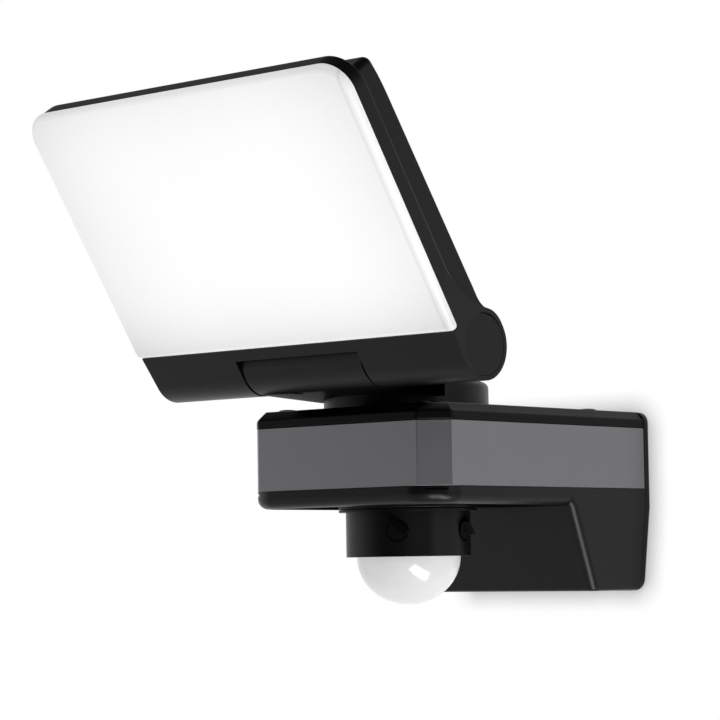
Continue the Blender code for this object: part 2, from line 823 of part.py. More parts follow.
def swivel_arm(axis):
    """Turntable with its hollow spindle, the neck and the hinge knuckle, in one moulding."""
    nut_foot = COVER_CEILING - 3 * GAP - WASHER_THICK - NUT_HEIGHT
    flat = TURNTABLE_RADIUS - TURNTABLE_ROUND
    shoulder = arc((flat, TURNTABLE_TOP - TURNTABLE_ROUND), TURNTABLE_ROUND, 90, 0)
    profile = (
        (0, TURNTABLE_TOP),
        *shoulder,
        (TURNTABLE_RADIUS, TURNTABLE_FOOT),
        (SPINDLE_RADIUS, TURNTABLE_FOOT),
        (SPINDLE_RADIUS, nut_foot - OVER),
        (SPINDLE_BORE, nut_foot - OVER),
        (SPINDLE_BORE, TURNTABLE_TOP - NECK_LIFT),
        (0, TURNTABLE_TOP - NECK_LIFT),
    )
    arm = turned("swivel_arm", profile, axis)
    hinge = (-KNUCKLE_REACH, HINGE_Z)
    reach = TURNTABLE_RADIUS - TURNTABLE_ROUND / 2
    back = math.sqrt(max(reach**2 - (KNUCKLE_WIDTH / 2) ** 2, OVER**2))
    side = (
        *arc(hinge, KNUCKLE_RADIUS, 65, 270, LARGE_STEPS // 3),
        (-TURNTABLE_RADIUS / 2, TURNTABLE_FOOT + NECK_LIFT),
        (0, TURNTABLE_FOOT + NECK_LIFT),
        (back, TURNTABLE_TOP - GAP),
        (-NECK_CREST[0], TURNTABLE_TOP + NECK_CREST[1]),
    )
    neck = raised("neck", side, -KNUCKLE_WIDTH / 2, KNUCKLE_WIDTH / 2, "X", axis)
    join(arm, neck)
    pin_hole = rod(
        "pin_hole",
        PIN_RADIUS + GAP,
        (-KNUCKLE_WIDTH / 2 - OVER, *hinge),
        (KNUCKLE_WIDTH / 2 + OVER, *hinge),
        "X",
        axis,
    )
    cut(arm, pin_hole)
    for side, word in ((-1, "left"), (1, "right")):
        across = side * LOCK_SCREW_SPACING / 2
        foot = hinge[1] - KNUCKLE_RADIUS
        tip = hinge[1] - PIN_RADIUS - GAP
        hole = rod(
            f"lock_hole_{word}",
            LOCK_SCREW_RADIUS + GAP,
            (across, hinge[0], foot - OVER),
            (across, hinge[0], tip + OVER),
            "Z",
            axis,
        )
        cut(arm, hole)
        lock = rod(
            f"lock_screw_{word}",
            LOCK_SCREW_RADIUS,
            (across, hinge[0], foot + 2 * OVER),
            (across, hinge[0], tip),
            "Z",
            axis,
        )
        finish(lock, steel)
    finish(arm, black_plastic)


def pan_bearing(axis):
    """Friction washer under the cover and the nut on the spindle that draws the arm down."""
    washer_top = COVER_CEILING - GAP
    bore = SPINDLE_RADIUS + GAP
    washer = turned(
        "pan_washer",
        (
            (bore, washer_top),
            (WASHER_RADIUS, washer_top),
            (WASHER_RADIUS, washer_top - WASHER_THICK),
            (bore, washer_top - WASHER_THICK),
        ),
        ring=True,
    )
    washer.location = (0, PAN_Y, 0)
    finish(washer, brass)
    nut_top = washer_top - WASHER_THICK - GAP
    nut = turned(
        "pan_nut",
        (
            (bore, nut_top),
            (NUT_RADIUS, nut_top),
            (NUT_RADIUS, nut_top - NUT_HEIGHT),
            (bore, nut_top - NUT_HEIGHT),
        ),
        axis,
        steps=SMALL_STEPS,
        ring=True,
    )
    finish(nut, steel)


def hinge_pins(axis):
    """Two headed pins fixed in the knuckle, on which the barrel turns, with a washer in each gap."""
    wall = SLOT_WIDTH / 2 + BARREL_WALL
    inner = LOCK_SCREW_SPACING / 2 - 2 * LOCK_SCREW_RADIUS
    head = wall + GAP
    pin_profile = (
        (0, head + PIN_HEAD_THICK),
        (PIN_HEAD_RADIUS, head + PIN_HEAD_THICK),
        (PIN_HEAD_RADIUS, head),
        (PIN_RADIUS, head),
        (PIN_RADIUS, inner),
        (0, inner),
    )
    face = KNUCKLE_WIDTH / 2 + GAP
    far = SLOT_WIDTH / 2 - GAP
    bore = PIN_RADIUS + GAP
    washer_profile = (
        (bore, far),
        (HINGE_WASHER_RADIUS, far),
        (HINGE_WASHER_RADIUS, face),
        (bore, face),
    )
    for side, word in ((-1, "left"), (1, "right")):
        pin = turned(f"hinge_pin_{word}", pin_profile, axis, steps=SMALL_STEPS)
        washer = turned(f"hinge_washer_{word}", washer_profile, axis, SMALL_STEPS, ring=True)
        for piece in (pin, washer):
            piece.location = (0, -KNUCKLE_REACH, HINGE_Z)
            piece.rotation_euler = (0, side * math.radians(90), 0)
        finish(pin, steel)
        finish(washer, brass)


def barrel_profile():
    """Side outline of the barrel block: front band, round barrel and the fillet up to the back."""
    back = BACK_FRONT + BACK_DEPTH_FOOT
    reach = BARREL_RADIUS + FILLET_RADIUS
    fillet = (back + FILLET_RADIUS, math.sqrt(reach**2 - (back + FILLET_RADIUS) ** 2))
    meet = math.degrees(math.atan2(fillet[1], fillet[0]))
    band_top = HEAD_FOOT - GAP
    return (
        *arc((0, 0), BARREL_RADIUS, 180, 360 + meet, 2 * LARGE_STEPS // 3),
        *arc(fillet, FILLET_RADIUS, 180 + meet, 180)[1:],
        (back, BACK_LOW - GAP),
        (TRAY_FLOOR, BACK_LOW - GAP),
        (TRAY_FLOOR, band_top + FRAME_WALL / 2),
        (HEAD_FRONT + GAP, band_top + FRAME_WALL / 2),
        (HEAD_FRONT + GAP, band_top),
        (-BARREL_RADIUS, band_top),
    )


def head_frame(axis):
    """Black frame: a shallow tray behind the diffuser with the hinge barrel along its foot."""
    frame = raised("head_frame", head_outline(0), HEAD_FRONT, FRAME_REAR, "Y", axis)
    half = BARREL_WIDTH / 2
    barrel = raised("barrel", barrel_profile(), -half, half, "X", axis)
    join(frame, barrel)
    tray = raised("tray", head_outline(FRAME_WALL), HEAD_FRONT - OVER, TRAY_FLOOR, "Y", axis)
    window_half = HEAD_WIDTH / 2 - 2 * LED_BOARD_MARGIN
    window = box(
        "wire_window",
        (-window_half, TRAY_FLOOR - OVER, BACK_LOW + LED_BOARD_MARGIN),
        (window_half, FRAME_REAR + OVER, BACK_TOP - LED_BOARD_MARGIN),
        axis,
    )
    slot = rod(
        "knuckle_slot",
        KNUCKLE_RADIUS + HINGE_CLEARANCE,
        (-SLOT_WIDTH / 2, 0, 0),
        (SLOT_WIDTH / 2, 0, 0),
        "X",
        axis,
        steps=LARGE_STEPS,
    )
    cut(frame, tray, window, slot)
    pin_hole = rod(
        "barrel_pin_hole",
        PIN_RADIUS + GAP,
        (-half, 0, 0),
        (half, 0, 0),
        "X",
        axis,
    )
    cut(frame, pin_hole)
    for side in (-1, 1):
        bore = rod(
            f"barrel_bore_{side}",
            BARREL_BORE,
            (side * (SLOT_WIDTH / 2 + BARREL_WALL), 0, 0),
            (side * (half + OVER), 0, 0),
            "X",
            axis,
            steps=2 * SMALL_STEPS,
        )
        seat = rod(
            f"cap_seat_{side}",
            CAP_RADIUS + CAP_GROOVE,
            (side * (half - CAP_THICK - GAP), 0, 0),
            (side * (half + OVER), 0, 0),
            "X",
            axis,
            steps=2 * SMALL_STEPS,
        )
        cut(frame, bore, seat)
    for across, along in back_screw_spots():
        hole = rod(
            f"frame_screw_hole_{across:.3f}_{along:.3f}",
            BACK_SCREW_RADIUS + GAP,
            (across, TRAY_FLOOR - OVER, along),
            (across, FRAME_REAR + OVER, along),
            "Y",
            axis,
            steps=FINE_STEPS,
        )
        cut(frame, hole)
    finish(frame, black_plastic)


def barrel_caps(axis):
    """Round caps that plug the ends of the barrel, with a fine groove round each."""
    half = BARREL_WIDTH / 2
    plug = BARREL_BORE - GAP
    profile = (
        (0, half),
        (CAP_RADIUS - CAP_GROOVE, half),
        (CAP_RADIUS, half - CAP_GROOVE),
        (CAP_RADIUS, half - CAP_THICK),
        (plug, half - CAP_THICK),
        (plug, half - CAP_THICK - CAP_PLUG_LENGTH),
        (0, half - CAP_THICK - CAP_PLUG_LENGTH),
    )
    for side, word in ((-1, "left"), (1, "right")):
        cap = turned(f"barrel_cap_{word}", profile, axis, steps=2 * SMALL_STEPS)
        cap.rotation_euler = (0, side * math.radians(90), 0)
        finish(cap, black_plastic)


def diffuser(axis):
    """Opal cover with rounded front edges, and a lip that drops inside the frame."""
    cover = raised("diffuser", head_outline(0), DIFFUSER_FRONT, DIFFUSER_BACK, "Y", axis)
    round_edges(cover, DIFFUSER_ROUND, 3, lambda a, b: max(a.y, b.y) < DIFFUSER_FRONT + GAP)
    lip_inset = FRAME_WALL + GAP
    lip = raised(
        "diffuser_lip",
        head_outline(lip_inset),
        DIFFUSER_FRONT + DIFFUSER_WALL / 2,
        HEAD_FRONT + DIFFUSER_LIP,
        "Y",
        axis,
    )
    join(cover, lip)
    hollow = raised(
        "diffuser_hollow",
        head_outline(lip_inset + DIFFUSER_WALL),
        DIFFUSER_FRONT + DIFFUSER_WALL,
        HEAD_FRONT + DIFFUSER_LIP + OVER,
        "Y",
        axis,
    )
    cut(cover, hollow)
    finish(cover, opal)


def light_engine(axis):
    """Behind the diffuser: seal, heat spreader, LED board and the LEDs."""
    seal_inset = FRAME_WALL + GAP
    seal_front = HEAD_FRONT + DIFFUSER_LIP + GAP
    seal = raised(
        "diffuser_seal", head_outline(seal_inset), seal_front, TRAY_FLOOR - GAP, "Y", axis
    )
    opening = raised(
        "seal_opening",
        head_outline(seal_inset + SEAL_WIDTH),
        seal_front - OVER,
        TRAY_FLOOR + OVER,
        "Y",
        axis,
    )
    cut(seal, opening)
    finish(seal, rubber)
    spreader_inset = seal_inset + SEAL_WIDTH + GAP
    spreader = raised(
        "heat_spreader", head_outline(spreader_inset), SPREADER_FRONT, TRAY_FLOOR - GAP, "Y", axis
    )
    finish(spreader, aluminium)
    half = HEAD_WIDTH / 2 - LED_BOARD_MARGIN
    low = HEAD_FOOT + LED_BOARD_MARGIN
    high = HEAD_TOP - LED_BOARD_MARGIN
    board = box(
        "led_board",
        (-half, LED_BOARD_FRONT, low),
        (half, LED_BOARD_FRONT + LED_BOARD_THICK, high),
        axis,
    )
    finish(board, white_board)
    led_back = LED_BOARD_FRONT - GAP / 2
    for row in range(LED_ROWS):
        along = low + (high - low) * (row + 0.5) / LED_ROWS
        for column in range(LED_COLUMNS):
            across = -half + 2 * half * (column + 0.5) / LED_COLUMNS
            led = box(
                f"led_{row + 1}_{column + 1}",
                (across - LED_SIZE / 2, led_back - LED_THICK, along - LED_SIZE / 2),
                (across + LED_SIZE / 2, led_back, along + LED_SIZE / 2),
                axis,
            )
            finish(led, led_yellow)


def back_screw_spots():
    half = HEAD_WIDTH / 2 - BACK_SIDE_INSET - BACK_SCREW_INSET
    levels = (BACK_LOW + BACK_SCREW_INSET, BACK_TOP - BACK_SCREW_INSET)
    return [(side * half, level) for level in levels for side in (-1, 1)]


def back_depth(along):
    """How far the back cover stands out behind the frame at a height."""
    share = (along - BACK_LOW) / (BACK_TOP - BACK_LOW)
    return BACK_DEPTH_FOOT + (BACK_DEPTH_TOP - BACK_DEPTH_FOOT) * share


def back_cover(axis):
    """Raised housing on the head's back, a little smaller than the frame and deeper at its foot."""
    half = HEAD_WIDTH / 2 - BACK_SIDE_INSET
    side = (
        (BACK_FRONT, BACK_LOW),
        (BACK_FRONT + BACK_DEPTH_FOOT, BACK_LOW),
        (BACK_FRONT + BACK_DEPTH_TOP, BACK_TOP),
        (BACK_FRONT, BACK_TOP),
    )
    cover = raised("back_cover", side, -half, half, "X", axis)
    round_edges(cover, BACK_ROUND, 2, lambda a, b: min(a.z, b.z) > BACK_TOP - OVER or (
        min(a.y, b.y) > BACK_FRONT + GAP and abs(a.z - b.z) > OVER))
    hollow_side = (
        (BACK_FRONT - OVER, BACK_LOW + BACK_WALL),
        (BACK_FRONT + BACK_DEPTH_FOOT - BACK_WALL, BACK_LOW + BACK_WALL),
        (BACK_FRONT + BACK_DEPTH_TOP - BACK_WALL, BACK_TOP - BACK_WALL),
        (BACK_FRONT - OVER, BACK_TOP - BACK_WALL),
    )
    inner = half - BACK_WALL
    hollow = raised("back_hollow", hollow_side, -inner, inner, "X", axis)
    cut(cover, hollow)
    boss_radius = BACK_SCREW_HEAD_RADIUS + BACK_WALL
    for number, (across, along) in enumerate(back_screw_spots()):
        surface = BACK_FRONT + back_depth(along)
        rear = surface - BACK_SCREW_HEAD_HEIGHT - GAP
        boss = rod(
            f"back_boss_{number}",
            boss_radius,
            (across, BACK_FRONT, along),
            (across, surface - BACK_WALL / 2, along),
            "Y",
            axis,
        )
        join(cover, boss)
        well = rod(
            f"back_well_{number}",
            BACK_SCREW_HEAD_RADIUS + GAP,
            (across, rear - GAP, along),
            (across, rear + BACK_DEPTH_FOOT, along),
            "Y",
            axis,
        )
        passage = rod(
            f"back_passage_{number}",
            BACK_SCREW_RADIUS + GAP,
            (across, BACK_FRONT - OVER, along),
            (across, rear + OVER, along),
            "Y",
            axis,
            steps=FINE_STEPS,
        )
        cut(cover, well, passage)
        fixing = screw(
            f"back_screw_{number + 1}",
            (across, rear, along),
            rear - TRAY_FLOOR,
            BACK_SCREW_HEAD_RADIUS,
            BACK_SCREW_HEAD_HEIGHT,
            BACK_SCREW_RADIUS,
            black_steel,
            axis,
        )
        fixing.rotation_euler = (math.radians(-90), 0, 0)
    finish(cover, black_plastic)


def bearing_turn(bearing):
    """Turns local Z to face outward at a bearing from the front, with local Y upright."""
    outward = Vector((math.sin(bearing), -math.cos(bearing), 0))
    return outward.to_track_quat("Z", "Y").to_matrix().to_4x4()


def sensor_base():
    """Thin ring fixed under the floor, which the collar turns against."""
    bore = SENSOR_NECK_RADIUS + GAP
    ring = turned(
        "sensor_ring",
        (
            (bore, SKIRT_FOOT - GAP),
            (RING_RADIUS, SKIRT_FOOT - GAP),
            (RING_RADIUS, RING_FOOT),
            (bore, RING_FOOT),
        ),
        ring=True,
    )
    ring.location = (0, PAN_Y, 0)
    finish(ring, black_plastic)


def sensor_collar(axis):
    """Turning collar with a neck through the floor, and a flat recess for each knob."""
    groove_top = FLOOR_TOP + 2 * GAP + CLIP_THICK
    neck_top = groove_top + CLIP_LAND
    groove = SENSOR_NECK_RADIUS - CLIP_GROOVE
    neck_bore = SENSOR_NECK_RADIUS - SENSOR_NECK_WALL
    window = DOME_RADIUS + GAP
    profile = (
        (neck_bore, neck_top),
        (SENSOR_NECK_RADIUS, neck_top),
        (SENSOR_NECK_RADIUS, groove_top),
        (groove, groove_top),
        (groove, FLOOR_TOP),
        (SENSOR_NECK_RADIUS, FLOOR_TOP),
        (SENSOR_NECK_RADIUS, FLANGE_TOP),
        (RING_RADIUS, FLANGE_TOP),
        (RING_RADIUS, FLANGE_FOOT),
        (COLLAR_RADIUS, FLANGE_FOOT),
        (COLLAR_RADIUS, COLLAR_FOOT + COLLAR_EDGE),
        (COLLAR_RADIUS - COLLAR_EDGE, COLLAR_FOOT),
        (window, COLLAR_FOOT),
        (window, COLLAR_FOOT + COLLAR_LIP),
        (COLLAR_BORE, COLLAR_FOOT + COLLAR_LIP),
        (COLLAR_BORE, COLLAR_CEILING),
        (neck_bore, COLLAR_CEILING),
    )
    collar = turned("sensor_collar", profile, axis, ring=True)
    for word, bearing in KNOB_BEARINGS.items():
        recess = rod(
            f"{word}_recess",
            KNOB_RADIUS + 2 * GAP,
            (0, 0, COLLAR_RADIUS - KNOB_RECESS_DEPTH),
            (0, 0, COLLAR_RADIUS + OVER),
            "Z",
            axis,
        )
        shaft_hole = rod(
            f"{word}_shaft_hole",
            KNOB_SHAFT_RADIUS + GAP,
            (0, 0, COLLAR_BORE - OVER),
            (0, 0, COLLAR_RADIUS + OVER),
            "Z",
            axis,
            steps=FINE_STEPS,
        )
        for cutter in (recess, shaft_hole):
            cutter.matrix_local = Matrix.Translation((0, 0, KNOB_Z)) @ bearing_turn(bearing)
        cut(collar, recess, shaft_hole)
    finish(collar, black_plastic)
    clip_foot = FLOOR_TOP + GAP
    clip_bore = groove + GAP
    clip = turned(
        "sensor_clip",
        (
            (clip_bore, clip_foot + CLIP_THICK),
            (CLIP_RADIUS, clip_foot + CLIP_THICK),
            (CLIP_RADIUS, clip_foot),
            (clip_bore, clip_foot),
        ),
        axis,
        ring=True,
    )
    finish(clip, steel)


def sensor_dome(axis):
    """Opal lens under the collar: a slightly flat dome held by a flange inside the lip."""
    seat = COLLAR_FOOT + COLLAR_LIP + GAP
    flange = COLLAR_BORE - GAP
    quarter = [math.radians(90 * i / DOME_STEPS) for i in range(DOME_STEPS + 1)]
    inner_radius = DOME_RADIUS - DOME_WALL
    inner_height = DOME_HEIGHT - DOME_WALL
    outside = [
        (DOME_RADIUS * math.cos(a), COLLAR_FOOT - DOME_HEIGHT * math.sin(a)) for a in quarter[:-1]
    ]
    inside = [
        (inner_radius * math.cos(a), COLLAR_FOOT - inner_height * math.sin(a)) for a in quarter[-2::-1]
    ]
    profile = (
        (inner_radius, seat + DOME_FLANGE),
        (flange, seat + DOME_FLANGE),
        (flange, seat),
        (DOME_RADIUS, seat),
        *outside,
        (0, COLLAR_FOOT - DOME_HEIGHT),
    )
    dome = turned(
        "sensor_dome", (*profile, (0, COLLAR_FOOT - inner_height), *inside), axis, ring=True
    )
    finish(dome, opal)


def sensor_inside(axis):
    """Sensor board against the collar's ceiling, with the pyro sensor facing down."""
    board = turned(
        "sensor_board",
        (
            (0, SENSOR_BOARD_FOOT + SENSOR_BOARD_THICK),
            (COLLAR_BORE - GAP, SENSOR_BOARD_FOOT + SENSOR_BOARD_THICK),
            (COLLAR_BORE - GAP, SENSOR_BOARD_FOOT),
            (0, SENSOR_BOARD_FOOT),
        ),
        axis,
    )
    finish(board, green_board)
    top = SENSOR_BOARD_FOOT - GAP
    pyro = turned(
        "pyro_sensor",
        (
            (0, top),
            (PYRO_RADIUS, top),
            (PYRO_RADIUS, top - PYRO_FLANGE),
            (PYRO_CAN_RADIUS, top - PYRO_FLANGE),
            (PYRO_CAN_RADIUS, top - PYRO_HEIGHT),
            (0, top - PYRO_HEIGHT),
        ),
        axis,
        steps=SMALL_STEPS,
    )
    finish(pyro, steel)


def adjusters(axis):
    """Two knobs on the collar, each with its potentiometer behind the wall."""
    floor = COLLAR_RADIUS - KNOB_RECESS_DEPTH
    for word, bearing in KNOB_BEARINGS.items():
        turn = Matrix.Translation((0, 0, KNOB_Z)) @ bearing_turn(bearing)
        disc_foot = floor + GAP
        disc_top = disc_foot + KNOB_THICK
        knob = turned(
            f"{word}_knob",
            (
                (0, disc_top),
                (KNOB_RADIUS, disc_top),
                (KNOB_RADIUS, disc_foot),
                (KNOB_SHAFT_RADIUS, disc_foot),
                (KNOB_SHAFT_RADIUS, disc_foot - KNOB_SHAFT_LENGTH),
                (0, disc_foot - KNOB_SHAFT_LENGTH),
            ),
            axis,
            steps=SMALL_STEPS,
        )
        grip = box(
            f"{word}_grip",
            (-KNOB_GRIP_WIDTH / 2, -KNOB_RADIUS + GAP, disc_top - KNOB_THICK / 2),
            (KNOB_GRIP_WIDTH / 2, KNOB_RADIUS - GAP, disc_top + KNOB_GRIP_HEIGHT),
            axis,
        )
        knob.matrix_local = turn
        grip.matrix_local = turn @ Matrix.Rotation(KNOB_SETTING, 4, "Z")
        join(knob, grip)
        finish(knob, black_plastic)
        rear = disc_foot - KNOB_SHAFT_LENGTH
        front = min(COLLAR_BORE - GAP, math.sqrt((COLLAR_BORE - GAP) ** 2 - (POT_SIZE / 2) ** 2))
        top = SENSOR_BOARD_FOOT - GAP - KNOB_Z
        pot = box(
            f"{word}_pot",
            (-POT_SIZE / 2, top - POT_SIZE, min(rear - GAP, front) - POT_DEPTH),
            (POT_SIZE / 2, top, min(rear - GAP, front)),
            axis,
        )
        pot.matrix_local = turn
        finish(pot, grey_plastic)


pan_axis = axis_empty("pan_axis", (0, PAN_Y, 0))
sensor_axis = axis_empty("sensor_axis", (0, PAN_Y, 0))
tilt_axis = axis_empty("tilt_axis", (0, -KNUCKLE_REACH, HINGE_Z), pan_axis)
tilt_axis.rotation_euler = (HEAD_LEAN, 0, 0)

wall_plate()
cable_grommet()
terminal_block()
base_screws()
base_housing()
trim_band()
top_cover()
driver_board()
swivel_arm(pan_axis)
pan_bearing(pan_axis)
hinge_pins(pan_axis)
head_frame(tilt_axis)
barrel_caps(tilt_axis)
diffuser(tilt_axis)
light_engine(tilt_axis)
back_cover(tilt_axis)
sensor_base()
sensor_collar(sensor_axis)
sensor_dome(sensor_axis)
sensor_inside(sensor_axis)
adjusters(sensor_axis)
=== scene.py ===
import math

import bmesh
import bpy
from mathutils import Matrix, Quaternion, Vector


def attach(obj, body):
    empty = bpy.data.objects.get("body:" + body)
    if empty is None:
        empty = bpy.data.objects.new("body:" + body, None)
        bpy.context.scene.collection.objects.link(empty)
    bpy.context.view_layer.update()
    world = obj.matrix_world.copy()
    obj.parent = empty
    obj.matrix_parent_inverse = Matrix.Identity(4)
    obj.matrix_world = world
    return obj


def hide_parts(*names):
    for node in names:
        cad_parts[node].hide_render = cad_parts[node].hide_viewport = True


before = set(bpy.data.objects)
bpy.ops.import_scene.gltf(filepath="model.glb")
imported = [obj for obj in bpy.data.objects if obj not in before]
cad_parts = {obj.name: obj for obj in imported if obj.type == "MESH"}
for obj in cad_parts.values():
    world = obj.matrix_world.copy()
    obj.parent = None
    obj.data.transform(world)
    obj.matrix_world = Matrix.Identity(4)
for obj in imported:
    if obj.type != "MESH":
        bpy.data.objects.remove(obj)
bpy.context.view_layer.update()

# Camera. It stands in front of the light, to its right and a little below, with a long lens,
# so that the edges and circles of the render fall where the photo has them.
bearing, rise, roll = math.radians(41.27), math.radians(4.32), math.radians(-0.883)
level = Vector((math.cos(bearing), math.sin(bearing), 0))
away = Vector((-math.sin(bearing), math.cos(bearing), 0))
forward = math.cos(rise) * away + Vector((0, 0, math.sin(rise)))
upright = level.cross(forward)
across = math.cos(roll) * level + math.sin(roll) * upright
upward = math.cos(roll) * upright - math.sin(roll) * level
CAMERA_PLACE, LENS = (0.7595, -0.9986, -0.0262), 134.58
camera = bpy.data.objects.new("camera", bpy.data.cameras.new("camera"))
camera.data.lens = LENS
facing = Matrix((across, upward, -forward)).transposed().to_4x4()
camera.matrix_world = Matrix.Translation(CAMERA_PLACE) @ facing
bpy.context.scene.collection.objects.link(camera)
bpy.context.scene.camera = camera
bpy.context.scene.view_settings.view_transform = "Standard"

# Studio. Six soft boxes light the object from below, from the left, from beside and from above.
# Each has a place, a width and height, a power in watts and a turn about its own aim. The room is
# plain white to the camera and nearly dark to every other ray.
LAMPS = (
    ("low_box", (0.55, -0.30, -0.54), (0.75, 0.3), 8.0, -30),
    ("left_box", (-1.1, -1.4, 0.1), (1.0, 1.4), 2.8, 0),
    ("far_box", (-1.35, -0.6, 0.05), (1.0, 1.2), 4.0, 0),
    ("side_box", (1.5, 0.15, 0.25), (0.5, 1.2), 10.0, 0),
    ("near_box", (1.5, -1.1, 0.5), (1.2, 1.0), 1.7, 0),
    ("top_box", (-0.3, -0.9, 1.4), (1.0, 0.8), 5.0, 0),
)
AIM = Vector((0, -0.11, 0.03))
for name, spot, (wide, high), watts, turn in LAMPS:
    lamp = bpy.data.objects.new(name, bpy.data.lights.new(name, "AREA"))
    lamp.data.shape = "RECTANGLE"
    lamp.data.size, lamp.data.size_y = wide, high
    lamp.data.energy = watts
    lamp.location = spot
    aimed = (AIM - Vector(spot)).to_track_quat("-Z", "Y")
    lamp.rotation_euler = (aimed @ Quaternion((0, 0, 1), math.radians(turn))).to_euler()
    bpy.context.scene.collection.objects.link(lamp)


class Socket:
    """One output in a node tree; sums written with it add Math nodes."""

    def __init__(self, tree, output):
        self.tree = tree
        self.output = output

    def make(self, kind, settings=(), inputs=(), out=0):
        """Adds any node: its settings first, then values or links for its sockets."""
        node = self.tree.nodes.new("ShaderNode" + kind)
        for key, value in dict(settings).items():
            setattr(node, key, value)
        for key, value in dict(inputs).items():
            if isinstance(value, Socket):
                self.tree.links.new(value.output, node.inputs[key])
            else:
                node.inputs[key].default_value = value
        return Socket(self.tree, node.outputs[out])

    def maths(self, operation, *values):
        return self.make("Math", {"operation": operation}, dict(enumerate(values)))

    def mixed(self, first, second):
        """Two colours, mixed by this value."""
        return self.make("Mix", {"data_type": "RGBA"}, {0: self, 6: first, 7: second}, 2)

    def feed(self, socket):
        self.tree.links.new(self.output, socket)

    def __add__(self, other):
        return self.maths("ADD", self, other)

    def __sub__(self, other):
        return self.maths("SUBTRACT", self, other)

    def __rsub__(self, other):
        return self.maths("SUBTRACT", other, self)

    def __mul__(self, other):
        return self.maths("MULTIPLY", self, other)

    def __truediv__(self, other):
        return self.maths("DIVIDE", self, other)

    __radd__ = __add__
    __rmul__ = __mul__


def material(name):
    """A new material, its shader and its Object coordinates."""
    made = bpy.data.materials.new(name)
    made.use_nodes = True
    nodes = made.node_tree.nodes
    where = nodes.new("ShaderNodeTexCoord").outputs["Object"]
    return made, nodes["Principled BSDF"], Socket(made.node_tree, where)


ROOM_GLOW = 0.02
world = bpy.data.worlds.new("pale_room")
world.use_nodes = True
bpy.context.scene.world = world
room_light = world.node_tree.nodes["Background"]
room_path = world.node_tree.nodes.new("ShaderNodeLightPath").outputs
camera_ray = Socket(world.node_tree, room_path["Is Camera Ray"])
room_light.inputs["Color"].default_value = (1, 1, 1, 1)
(camera_ray * (1 - ROOM_GLOW) + ROOM_GLOW).feed(room_light.inputs["Strength"])

# Wall and floor. A white wall stands behind the light with a painted soft shadow near it; from behind it
# is clear, so that the back can be seen. A pale floor lies below. Gloss mirrors both with a painted
# dimming a little below white, and the wall painted dimmer still high up.
WALL_GAP, WALL_SIZE, FLOOR_DROP = 0.0004, 6.0, 1.2
MIRRORED, MIRRORED_HIGH, DIM_FROM, DIM_TO = 0.9, 0.12, 0.22, 0.5
SHADOW_REACH, SHADOW_TONE, SHADOW_LEAN = 0.011, 0.08, (-0.42, -0.2, 0.88)
for name, low, axes in (
    ("wall", (0, WALL_GAP, 0), Matrix.Rotation(math.radians(90), 4, "X")),
    ("floor", (0, -WALL_SIZE / 2, -FLOOR_DROP), Matrix.Identity(4)),
):
    shape = bmesh.new()
    bmesh.ops.create_grid(shape, x_segments=1, y_segments=1, size=WALL_SIZE / 2)
    bmesh.ops.transform(shape, matrix=Matrix.Translation(low) @ axes, verts=shape.verts)
    mesh = bpy.data.meshes.new(name)
    shape.to_mesh(mesh)
    shape.free()
    backdrop = bpy.data.objects.new(name, mesh)
    bpy.context.scene.collection.objects.link(backdrop)
    paint, shader, where = material(name + "_paint")
    mottle = where.make("TexNoise", {}, {"Vector": where, "Scale": 3.0}, "Fac")
    mottle.mixed((0.86, 0.86, 0.86, 1), (0.9, 0.9, 0.9, 1)).feed(shader.inputs["Base Color"])
    shader.inputs["Roughness"].default_value = 0.9
    shader.inputs["Specular IOR Level"].default_value = 0.0
    path = where.make("LightPath").output.node.outputs
    camera_ray, glossy, through = (
        Socket(where.tree, path[f"Is {ray} Ray"]) for ray in ("Camera", "Glossy", "Transmission")
    )
    seen = where.maths("MINIMUM", camera_ray + glossy + through, 1.0)
    # Painted shadow: an occlusion shade, leaned up and to the left, darkens the white the camera sees near
    # the object.
    painted_shadow_share = where.make(
        "AmbientOcclusion", {"samples": 16}, {"Distance": SHADOW_REACH, "Normal": SHADOW_LEAN}, "AO"
    )
    shade = painted_shadow_share.mixed((SHADOW_TONE, SHADOW_TONE, SHADOW_TONE, 1), (1, 1, 1, 1))
    height = Socket(where.tree, where.make("SeparateXYZ", {}, {0: where}).output.node.outputs["Z"])
    # Painted reflection: gloss sees the wall dimmer than white, and painted dimmer still high up.
    painted_reflection_dimming = where.make(
        "MapRange", {},
        {
            "Value": height, "From Min": DIM_FROM, "From Max": DIM_TO,
            "To Min": MIRRORED, "To Max": MIRRORED_HIGH,
        },
    )
    white = where.make("Emission", {}, {"Color": shade, "Strength": 1 - glossy * (1 - painted_reflection_dimming)})
    lit = Socket(where.tree, shader.outputs["BSDF"])
    front = where.make("MixShader", {}, {0: seen, 1: lit, 2: white})
    behind = where.make("NewGeometry", {}, {}, "Backfacing")
    shown = where.make("MixShader", {}, {0: behind, 1: front, 2: where.make("BsdfTransparent")})
    shown.feed(paint.node_tree.nodes["Material Output"].inputs["Surface"])
    mesh.materials.append(paint)

# Wall plate. A flat moulding of black plastic, screwed to the wall through four holes; the mains
# lead comes through the large hole in a rubber grommet. The housing hangs on it.
MM = 0.001


def prism(outline, along):
    """A bmesh raised from a flat outline along a vector, in millimetres."""
    shape = bmesh.new()
    face = shape.faces.new([shape.verts.new(point) for point in outline])
    raised = bmesh.ops.extrude_face_region(shape, geom=[face])["geom"]
    moved = [part for part in raised if isinstance(part, bmesh.types.BMVert)]
    bmesh.ops.translate(shape, verts=moved, vec=along)
    bmesh.ops.recalc_face_normals(shape, faces=shape.faces)
    return shape


def rounded(shape, radius, segments, chosen):
    """Rounds the edges that the test picks by their two ends."""
    edges = [edge for edge in shape.edges if chosen(*(point.co for point in edge.verts))]
    bmesh.ops.bevel(
        shape, geom=edges, offset=radius, segments=segments, profile=0.5, affect="EDGES", material=-1
    )


